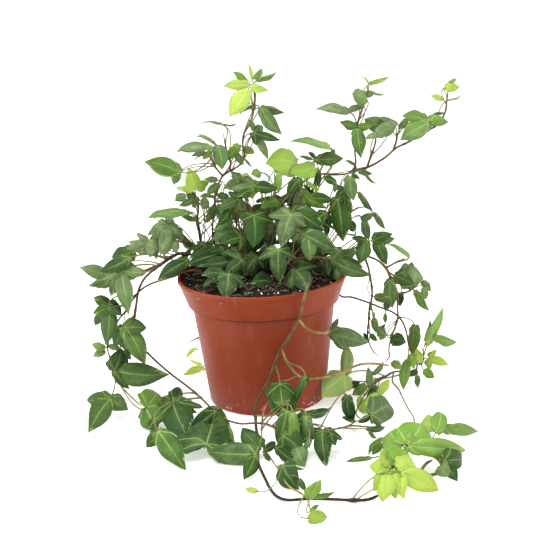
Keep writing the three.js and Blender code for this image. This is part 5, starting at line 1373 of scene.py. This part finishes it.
def soil_mesh(lumps):
    """The compost as a closed mesh, and its top alone, on which the bits lie."""
    edge = soil_radius(SOIL_EDGE_HEIGHT)
    work, top = bmesh.new(), bmesh.new()

    def ring_points(mesh, radius, height=None):
        points = []
        for side in range(SOIL_SIDES):
            angle = math.tau * side / SOIL_SIDES
            x, y = radius * math.cos(angle), radius * math.sin(angle)
            z = soil_height(x, y, lumps) if height is None else height
            points.append(mesh.verts.new((x * MM, y * MM, z * MM)))
        return points

    def bridge(mesh, one, other):
        for side in range(SOIL_SIDES):
            following = (side + 1) % SOIL_SIDES
            mesh.faces.new((one[side], one[following], other[following], other[side]))

    for mesh in (work, top):
        middle = mesh.verts.new((0, 0, soil_height(0, 0, lumps) * MM))
        inner = ring_points(mesh, edge / SOIL_RINGS)
        for side in range(SOIL_SIDES):
            mesh.faces.new((middle, inner[side], inner[(side + 1) % SOIL_SIDES]))
        for ring in range(2, SOIL_RINGS + 1):
            outer = ring_points(mesh, edge * ring / SOIL_RINGS)
            bridge(mesh, outer, inner)
            inner = outer
        if mesh is work:
            step_top = POT_HEIGHT - BAND_HEIGHT
            for height in (step_top + WALL, step_top - STEP_HEIGHT + WALL, FLOOR + SOIL_GAP):
                outer = ring_points(mesh, soil_radius(height), height)
                bridge(mesh, outer, inner)
                inner = outer
            bottom = mesh.verts.new((0, 0, (FLOOR + SOIL_GAP) * MM))
            for side in range(SOIL_SIDES):
                mesh.faces.new((bottom, inner[(side + 1) % SOIL_SIDES], inner[side]))
    for mesh in (work, top):
        bmesh.ops.recalc_face_normals(mesh, faces=mesh.faces)
    return finished_mesh("compost", work, smooth=True), finished_mesh("compost_top", top, smooth=True)


def bit_mesh(name, kind, chance):
    """One bit of the compost: a bark chip, a white grain or a bent fibre, in metres."""
    work = bmesh.new()
    if kind == "fibre":
        bmesh.ops.create_cone(work, cap_ends=True, segments=5, radius1=0.00022, radius2=0.00012, depth=0.009)
        bmesh.ops.rotate(work, verts=work.verts, matrix=Matrix.Rotation(math.pi / 2, 3, "Y"))
        cut = [edge for edge in work.edges if abs(edge.verts[0].co.x - edge.verts[1].co.x) > 0.004]
        bmesh.ops.subdivide_edges(work, edges=cut, cuts=4)
        curve = chance.uniform(20, 60)
        for vertex in work.verts:
            vertex.co.y += curve * vertex.co.x**2
            vertex.co.z += 0.0008 * math.sin(vertex.co.x * 700)
    else:
        bmesh.ops.create_icosphere(work, subdivisions=1, radius=0.001)
        flat = Vector((1.6, 1.0, 0.45)) if kind == "chip" else Vector((0.7, 0.7, 0.6))
        for vertex in work.verts:
            vertex.co = vertex.co * flat * chance.uniform(0.65, 1.3)
    mesh = finished_mesh(name, work)
    tint = {"chip": chance.uniform(0.1, 0.7), "grain": 1.15, "fibre": chance.uniform(0.75, 0.9)}[kind]
    write_values(mesh, "tint", "FLOAT", [tint] * len(mesh.vertices))
    return mesh


def make_compost(looks):
    """The compost, and the bits that lie on it."""
    body, top = soil_mesh(looks.lumps / MM)
    body.materials.append(compost_material(looks))
    finish_piece(new_object("compost_fill", body), ["potting_soil"])
    chance = random.Random(looks.seed)
    meshes = [bit_mesh(f"bit_{number}", kind, chance) for number, kind in enumerate(BIT_KINDS)]
    shapes = shape_collection("bit", meshes)
    bits = grown("compost_bits", top, bits_tree(), {
        "Bit shapes": shapes,
        "Bits in a square metre": looks.bits,
        "Seed": looks.seed,
        "Finish": bits_material(looks),
    })
    clear_shapes(shapes)
    finish_piece(bits, [])


def rootlet_mesh():
    """A short pointed rootlet that stands up from its foot."""
    work = bmesh.new()
    bmesh.ops.create_cone(work, cap_ends=True, segments=4, radius1=0.00028, radius2=0.00008, depth=0.0024)
    bmesh.ops.translate(work, verts=work.verts, vec=(0, 0, 0.0012))
    return finished_mesh("rootlet", work)


def stem_lines(name, paths, knots, looks):
    """A mesh of a stem's middle lines, with the radius and the look of each point."""
    stem = STEMS[name]
    root, tip = stem["thick"]
    root_pale, tip_pale, shoot_pale = stem["pale"]
    chance = random.Random(name)
    points, edges, radii, pales, rooted, turns = [], [], [], [], [], []
    for number, path in enumerate(paths):
        runs = [0]
        for one, other in zip(path, path[1:]):
            runs.append(runs[-1] + (other - one).length)
        shoot = SHOOT_THICKNESS if number else 1
        for index, point in enumerate(path):
            share = runs[index] / runs[-1]
            near = min((knot - point).length for knot in knots)
            swelling = 1 + looks.swelling * math.exp(-((near / KNOT_REACH) ** 2))
            taper = min(1, TIP_THICKNESS + (runs[-1] - runs[index]) / TIP_TAPER)
            wobble = 1 + WOBBLE * noise.noise(point * WOBBLE_FINENESS)
            radius = (root + (tip - root) * share) * shoot * swelling * taper * wobble
            if index:
                edges.append((len(points) - 1, len(points)))
            points.append(point * MM)
            radii.append(radius * MM)
            pales.append(shoot_pale if number else root_pale + (tip_pale - root_pale) * share**PALE_RISE)
            low = point.z < POT_HEIGHT + ROOTLETS_ABOVE_POT
            rooted.append(chance.random() < stem["rootlets"] and low)
            turns.append([chance.uniform(*limits) for limits in ROOTLET_TURNS])
    mesh = bpy.data.meshes.new(name)
    mesh.from_pydata(points, edges, [])
    write_values(mesh, "stem_radius", "FLOAT", radii)
    write_values(mesh, "stem_pale", "FLOAT", pales)
    write_values(mesh, "has_rootlet", "BOOLEAN", rooted)
    write_values(mesh, "rootlet_turn", "FLOAT_VECTOR", turns)
    return mesh


def make_stems(looks):
    """Each stem with its side shoots."""
    paths = stem_paths()
    leaves = all_leaves()
    finish = stem_material(looks)
    tree = stem_tree()
    rootlet = bpy.data.objects.new("rootlet", rootlet_mesh())
    for name in STEMS:
        knots = [stalk_start(leaf, paths[name]) for leaf in leaves[name]]
        stem = grown(f"vine_{name}", stem_lines(name, paths[name], knots, looks), tree, {
            "Rootlet": rootlet,
            "Stem sides": looks.stem_sides,
            "Finish": finish,
        })
        finish_piece(stem, [f"stem_{name}"])
    bpy.data.objects.remove(rootlet)


def leaf_places(name, leaves, paths, looks):
    """A mesh with a point for each blade and a line for each stalk, and what each leaf is like."""
    kinds = {
        "outline": "INT", "foot": "FLOAT_VECTOR", "side": "FLOAT_VECTOR", "midrib": "FLOAT_VECTOR",
        "face": "FLOAT_VECTOR", "length": "FLOAT", "width": "FLOAT", "youth": "FLOAT", "chance": "FLOAT",
        "sheen": "FLOAT", "bow": "FLOAT_VECTOR", "wave": "FLOAT_VECTOR", "hang": "FLOAT_VECTOR",
    }
    columns = {"is_leaf": "BOOLEAN", "is_stalk": "FLOAT"}
    columns.update({f"leaf_{trait}": kind for trait, kind in kinds.items()})
    columns["stalk_radius"] = "FLOAT"
    points, edges, rows, feet = [], [], [], []
    for leaf in leaves:
        look = {f"leaf_{trait}": getattr(leaf, trait) for trait in kinds}
        look["leaf_outline"] += len(BLADE_LOBES) if leaf.length < PLAIN_BELOW else 0
        look["leaf_foot"] = leaf.foot * MM
        look["leaf_length"] = leaf.length * MM
        points.append(leaf.foot * MM)
        rows.append({**look, "is_leaf": True, "is_stalk": 0.0, "stalk_radius": 0.0})
        shared = any((leaf.foot - foot).length < SAME_FOOT for foot in feet)
        feet.append(leaf.foot)
        stalk = [] if shared else stalk_path(leaf, paths)
        for step, point in enumerate(stalk):
            if step:
                edges.append((len(points) - 1, len(points)))
            share = step / (len(stalk) - 1)
            swelling = 1
            for run, (growth, decline) in ((share, STALK_ROOT_SWELLING), (1 - share, STALK_END_SWELLING)):
                swelling += growth * math.exp(-run * decline)
            radius = (looks.stalk_radius + leaf.length * MM * STALK_GROWTH) * swelling
            points.append(point * MM)
            rows.append({**look, "is_leaf": False, "is_stalk": 1.0, "stalk_radius": radius})
    mesh = bpy.data.meshes.new(name)
    mesh.from_pydata(points, edges, [])
    for column, kind in columns.items():
        write_values(mesh, column, kind, [row[column] for row in rows])
    return mesh


def make_leaves(looks):
    """Each stem's leaves on their stalks, one piece for each stem."""
    paths = stem_paths()
    finish = leaf_material(looks)
    tree = leaf_tree()
    meshes = []
    for steps, rings in ((FINE_STEPS, FINE_RINGS), (PLAIN_STEPS, PLAIN_RINGS)):
        for lobes, lean in BLADE_LOBES:
            meshes.append(blade_mesh(f"blade_{len(meshes):02}", lobes, lean, steps, rings))
    outlines = shape_collection("blade", meshes)
    for name, leaves in all_leaves().items():
        piece = grown(f"leaves_{name}", leaf_places(name, leaves, paths[name], looks), tree, {
            "Blade outlines": outlines,
            "Blade thickness": looks.blade_thickness,
            "Lowest": BLADE_LOWEST * MM,
            "Stalk sides": looks.stalk_sides,
            "Finish": finish,
        })
        prefix = f"leaf_{name}_"
        nodes = [node for node in frame["nodes"] if node.startswith(prefix) and node[len(prefix):].isdigit()]
        finish_piece(piece, nodes)
    clear_shapes(outlines)


# The stage.

def add_light(name, place, aim, size, watts):
    """A square soft light at a place that shines towards its aim, in metres."""
    lamp = bpy.data.lights.new(name, "AREA")
    lamp.size = size
    lamp.energy = watts
    light = bpy.data.objects.new(name, lamp)
    bpy.context.scene.collection.objects.link(light)
    light.location = place
    light.rotation_euler = (Vector(aim) - Vector(place)).to_track_quat("-Z", "Y").to_euler()


def make_stage(looks):
    """White paper, soft light all round and the camera at the eye."""
    half = looks.floor_side / 2
    paper = bpy.data.meshes.new("paper")
    corners = [(-half, -half, 0), (half, -half, 0), (half, half, 0), (-half, half, 0)]
    paper.from_pydata(corners, [], [(0, 1, 2, 3)])
    paper.materials.append(floor_material(looks))
    new_object("paper", paper)

    world = bpy.data.worlds.new("studio")
    world.use_nodes = True
    backdrop = world.node_tree.nodes["Background"]
    backdrop.inputs["Color"].default_value = (1, 1, 1, 1)
    backdrop.inputs["Strength"].default_value = looks.room_light
    scene = bpy.context.scene
    scene.world = world
    scene.view_settings.view_transform = "Standard"
    add_light("overhead", (-0.25, -0.1, 1.2), (0, 0, 0.1), 0.8, looks.overhead)
    add_light("left", (-1.3, -0.3, 0.5), (0, 0, 0.1), 0.8, looks.left)
    add_light("right", (1.3, -0.3, 0.5), (0, 0, 0.1), 0.8, looks.right)

    camera_data = bpy.data.cameras.new("camera")
    camera_data.lens = looks.lens
    camera_data.sensor_width = 36
    camera_data.clip_end = 100
    camera = bpy.data.objects.new("camera", camera_data)
    scene.collection.objects.link(camera)
    pitch, yaw, roll = looks.pitch, looks.yaw, looks.roll
    ahead = Vector((math.sin(yaw) * math.cos(pitch), math.cos(yaw) * math.cos(pitch), -math.sin(pitch)))
    right = ahead.cross(Vector((0, 0, 1))).normalized()
    turn = Matrix.Rotation(roll, 3, -ahead)
    right = turn @ right
    above = right.cross(ahead)
    axes = Matrix((right, above, -ahead)).transposed().to_4x4()
    camera.matrix_world = Matrix.Translation(Vector((0, -EYE_DISTANCE, EYE_HEIGHT)) * MM) @ axes
    scene.camera = camera


# Settings, buttons and the panel.

def number_setting(name, description, default, **more):
    return bpy.props.FloatProperty(name=name, description=description, default=default, **more)


def length_setting(name, description, default):
    return number_setting(name, description, default, unit="LENGTH", precision=5)


def angle_setting(name, description, degrees):
    return number_setting(name, description, math.radians(degrees), unit="ROTATION")


def count_setting(name, description, default):
    return bpy.props.IntProperty(name=name, description=description, default=default)


def colour_setting(name, description, default):
    return bpy.props.FloatVectorProperty(
        name=name, description=description, default=default, subtype="COLOR", min=0, max=1
    )


class PotSettings(bpy.types.PropertyGroup):
    """What a user would change about the pot"""

    hole_sides: count_setting("Hole sides", "Sides of each drain hole", 28)
    clay: colour_setting("Clay", "Colour of the moulded plastic", (0.2, 0.025, 0.003))
    clay_worn: colour_setting("Worn clay", "Colour where the plastic is rubbed", (0.245, 0.039, 0.011))
    scuff: colour_setting("Scuffs", "Colour of the scuffs", (0.45, 0.2, 0.13))
    lime: colour_setting("Lime", "Colour of the lime marks at the foot", (0.8, 0.74, 0.7))
    # Painted shade: the colour of the dark line under the band's overhang.
    painted_crease_shade: colour_setting("Crease_shade", "Colour of the grime in the crease under the band", (0.03, 0.008, 0.005))


class CompostSettings(bpy.types.PropertyGroup):
    """What a user would change about the compost"""

    lumps: length_setting("Lumps", "Height of the lumps", 0.0013)
    bits: number_setting("Bits", "Bits in a square metre", 70000)
    seed: count_setting("Seed", "Seed of the bits' places", 4)
    peat: colour_setting("Peat", "Colour of the moist peat", (0.006, 0.004, 0.003))
    peat_dry: colour_setting("Dry peat", "Colour of the drier crumbs", (0.018, 0.011, 0.007))
    bark: colour_setting("Bark chips", "Colour of the bark chips", (0.045, 0.024, 0.014))
    fibre: colour_setting("Fibres", "Colour of the pale roots and fibres", (0.32, 0.23, 0.15))
    grain: colour_setting("Grains", "Colour of the white grains", (0.75, 0.72, 0.66))


class StemSettings(bpy.types.PropertyGroup):
    """What a user would change about the stems"""

    stem_sides: count_setting("Stem sides", "Sides of each stem", 8)
    swelling: number_setting("Swelling", "Growth of the radius at a stalk", 0.4)
    bark: colour_setting("Bark", "Colour of old bark", (0.03, 0.015, 0.009))
    bark_purple: colour_setting("Purplish bark", "Colour of its purplish parts", (0.032, 0.014, 0.014))
    young: colour_setting("Young bark", "Colour of young bark", (0.42, 0.28, 0.12))
    young_green: colour_setting("Green bark", "Colour of the greenest bark", (0.2, 0.16, 0.05))
    pore: colour_setting("Pores", "Colour of the pores", (0.14, 0.09, 0.05))


class LeafSettings(bpy.types.PropertyGroup):
    """What a user would change about the leaves"""

    blade_thickness: length_setting("Blade thickness", "Thickness of a blade", 0.0005)
    stalk_radius: length_setting("Stalk radius", "Radius of the thinnest stalk", 0.00034)
    stalk_sides: count_setting("Stalk sides", "Sides of each stalk", 6)
    old: colour_setting("Old leaf", "Colour of the oldest leaves", (0.008, 0.031, 0.005))
    grown: colour_setting("Grown leaf", "Colour of grown leaves", (0.034, 0.092, 0.010))
    fresh: colour_setting("Fresh leaf", "Colour of fresh leaves", (0.165, 0.34, 0.026))
    young: colour_setting("Young leaf", "Colour of the youngest leaves", (0.47, 0.6, 0.09))
    # Painted sheen: the pale grey-green that stands in for a glossy blade's reflection, partly the blade's
    # own paleness.
    sheen: colour_setting("Sheen", "Colour of the palest leaves", (0.42, 0.52, 0.28))
    blue_green: colour_setting("Bluish leaf", "Tinge of some old leaves", (0.016, 0.052, 0.024))
    vein: colour_setting("Veins", "Colour of the veins", (0.24, 0.4, 0.1))
    young_vein: colour_setting("Young veins", "Colour of young leaves' veins", (0.66, 0.78, 0.25))
    underside: colour_setting("Underside", "Colour of the underside", (0.2, 0.3, 0.15))
    young_underside: colour_setting("Young underside", "Colour of young undersides", (0.5, 0.62, 0.2))
    stalk: colour_setting("Stalks", "Colour of the stalks", (0.2, 0.17, 0.075))
    stalk_red: colour_setting("Reddish stalks", "Colour of the stalks' reddish parts", (0.17, 0.08, 0.05))


class StageSettings(bpy.types.PropertyGroup):
    """What a user would change about the stage"""

    floor_side: length_setting("Floor side", "Side of the floor", 30.0)
    floor: colour_setting("Floor", "Colour of the floor", (0.92, 0.92, 0.92))
    floor_glow: number_setting("Floor glow", "Light that the floor gives", 0.45)
    room_light: number_setting("Room light", "Strength of the light all round", 0.65)
    overhead: number_setting("Overhead", "Watts of the light above", 18)
    left: number_setting("Left", "Watts of the light at the left", 9)
    right: number_setting("Right", "Watts of the light at the right", 9)
    lens: number_setting("Lens", "Focal length in mm", 96.08)
    pitch: angle_setting("Pitch", "Look down", 16.18)
    yaw: angle_setting("Yaw", "Look right", 0.57)
    roll: angle_setting("Roll", "Tilt", -2.68)


class MakePot(bpy.types.Operator):
    """Make the moulded pot and hide its packed stand-in"""

    bl_idname = "potted_ivy.make_pot"
    bl_label = "Make the pot"

    def execute(self, context):
        make_pot(context.scene.ivy_pot)
        return {"FINISHED"}


class MakeCompost(bpy.types.Operator):
    """Fill the pot with compost and strew bits over it"""

    bl_idname = "potted_ivy.make_compost"
    bl_label = "Make the compost"

    def execute(self, context):
        make_compost(context.scene.ivy_compost)
        return {"FINISHED"}


class MakeStems(bpy.types.Operator):
    """Grow the stems and their side shoots"""

    bl_idname = "potted_ivy.make_stems"
    bl_label = "Make the stems"

    def execute(self, context):
        make_stems(context.scene.ivy_stems)
        return {"FINISHED"}


class MakeLeaves(bpy.types.Operator):
    """Grow the leaves on their stalks"""

    bl_idname = "potted_ivy.make_leaves"
    bl_label = "Make the leaves"

    def execute(self, context):
        make_leaves(context.scene.ivy_leaves)
        return {"FINISHED"}


class MakeStage(bpy.types.Operator):
    """Lay the floor and place the lights and the camera"""

    bl_idname = "potted_ivy.make_stage"
    bl_label = "Make the stage"

    def execute(self, context):
        make_stage(context.scene.ivy_stage)
        return {"FINISHED"}


OPERATORS = (MakePot, MakeCompost, MakeStems, MakeLeaves, MakeStage)
SETTINGS = {
    "ivy_pot": PotSettings,
    "ivy_compost": CompostSettings,
    "ivy_stems": StemSettings,
    "ivy_leaves": LeafSettings,
    "ivy_stage": StageSettings,
}


class PottedIvyPanel(bpy.types.Panel):
    """The buttons and settings of the potted ivy"""

    bl_label = "Potted ivy"
    bl_idname = "VIEW3D_PT_potted_ivy"
    bl_space_type = "VIEW_3D"
    bl_region_type = "UI"
    bl_category = "Potted ivy"

    def draw(self, context):
        for operator, name in zip(OPERATORS, SETTINGS):
            box = self.layout.box()
            box.operator(operator.bl_idname)
            settings = getattr(context.scene, name)
            for key in settings.__annotations__:
                box.prop(settings, key)


def register():
    for group in (*SETTINGS.values(), *OPERATORS, PottedIvyPanel):
        bpy.utils.register_class(group)
    for name, group in SETTINGS.items():
        setattr(bpy.types.Scene, name, bpy.props.PointerProperty(type=group))


def unregister():
    for name in SETTINGS:
        delattr(bpy.types.Scene, name)
    for group in (PottedIvyPanel, *OPERATORS, *SETTINGS.values()):
        bpy.utils.unregister_class(group)


def main():
    """Makes every piece."""
    register()
    bpy.ops.potted_ivy.make_stage()
    bpy.ops.potted_ivy.make_pot()
    bpy.ops.potted_ivy.make_compost()
    bpy.ops.potted_ivy.make_stems()
    bpy.ops.potted_ivy.make_leaves()


if __name__ == "__main__":
    main()
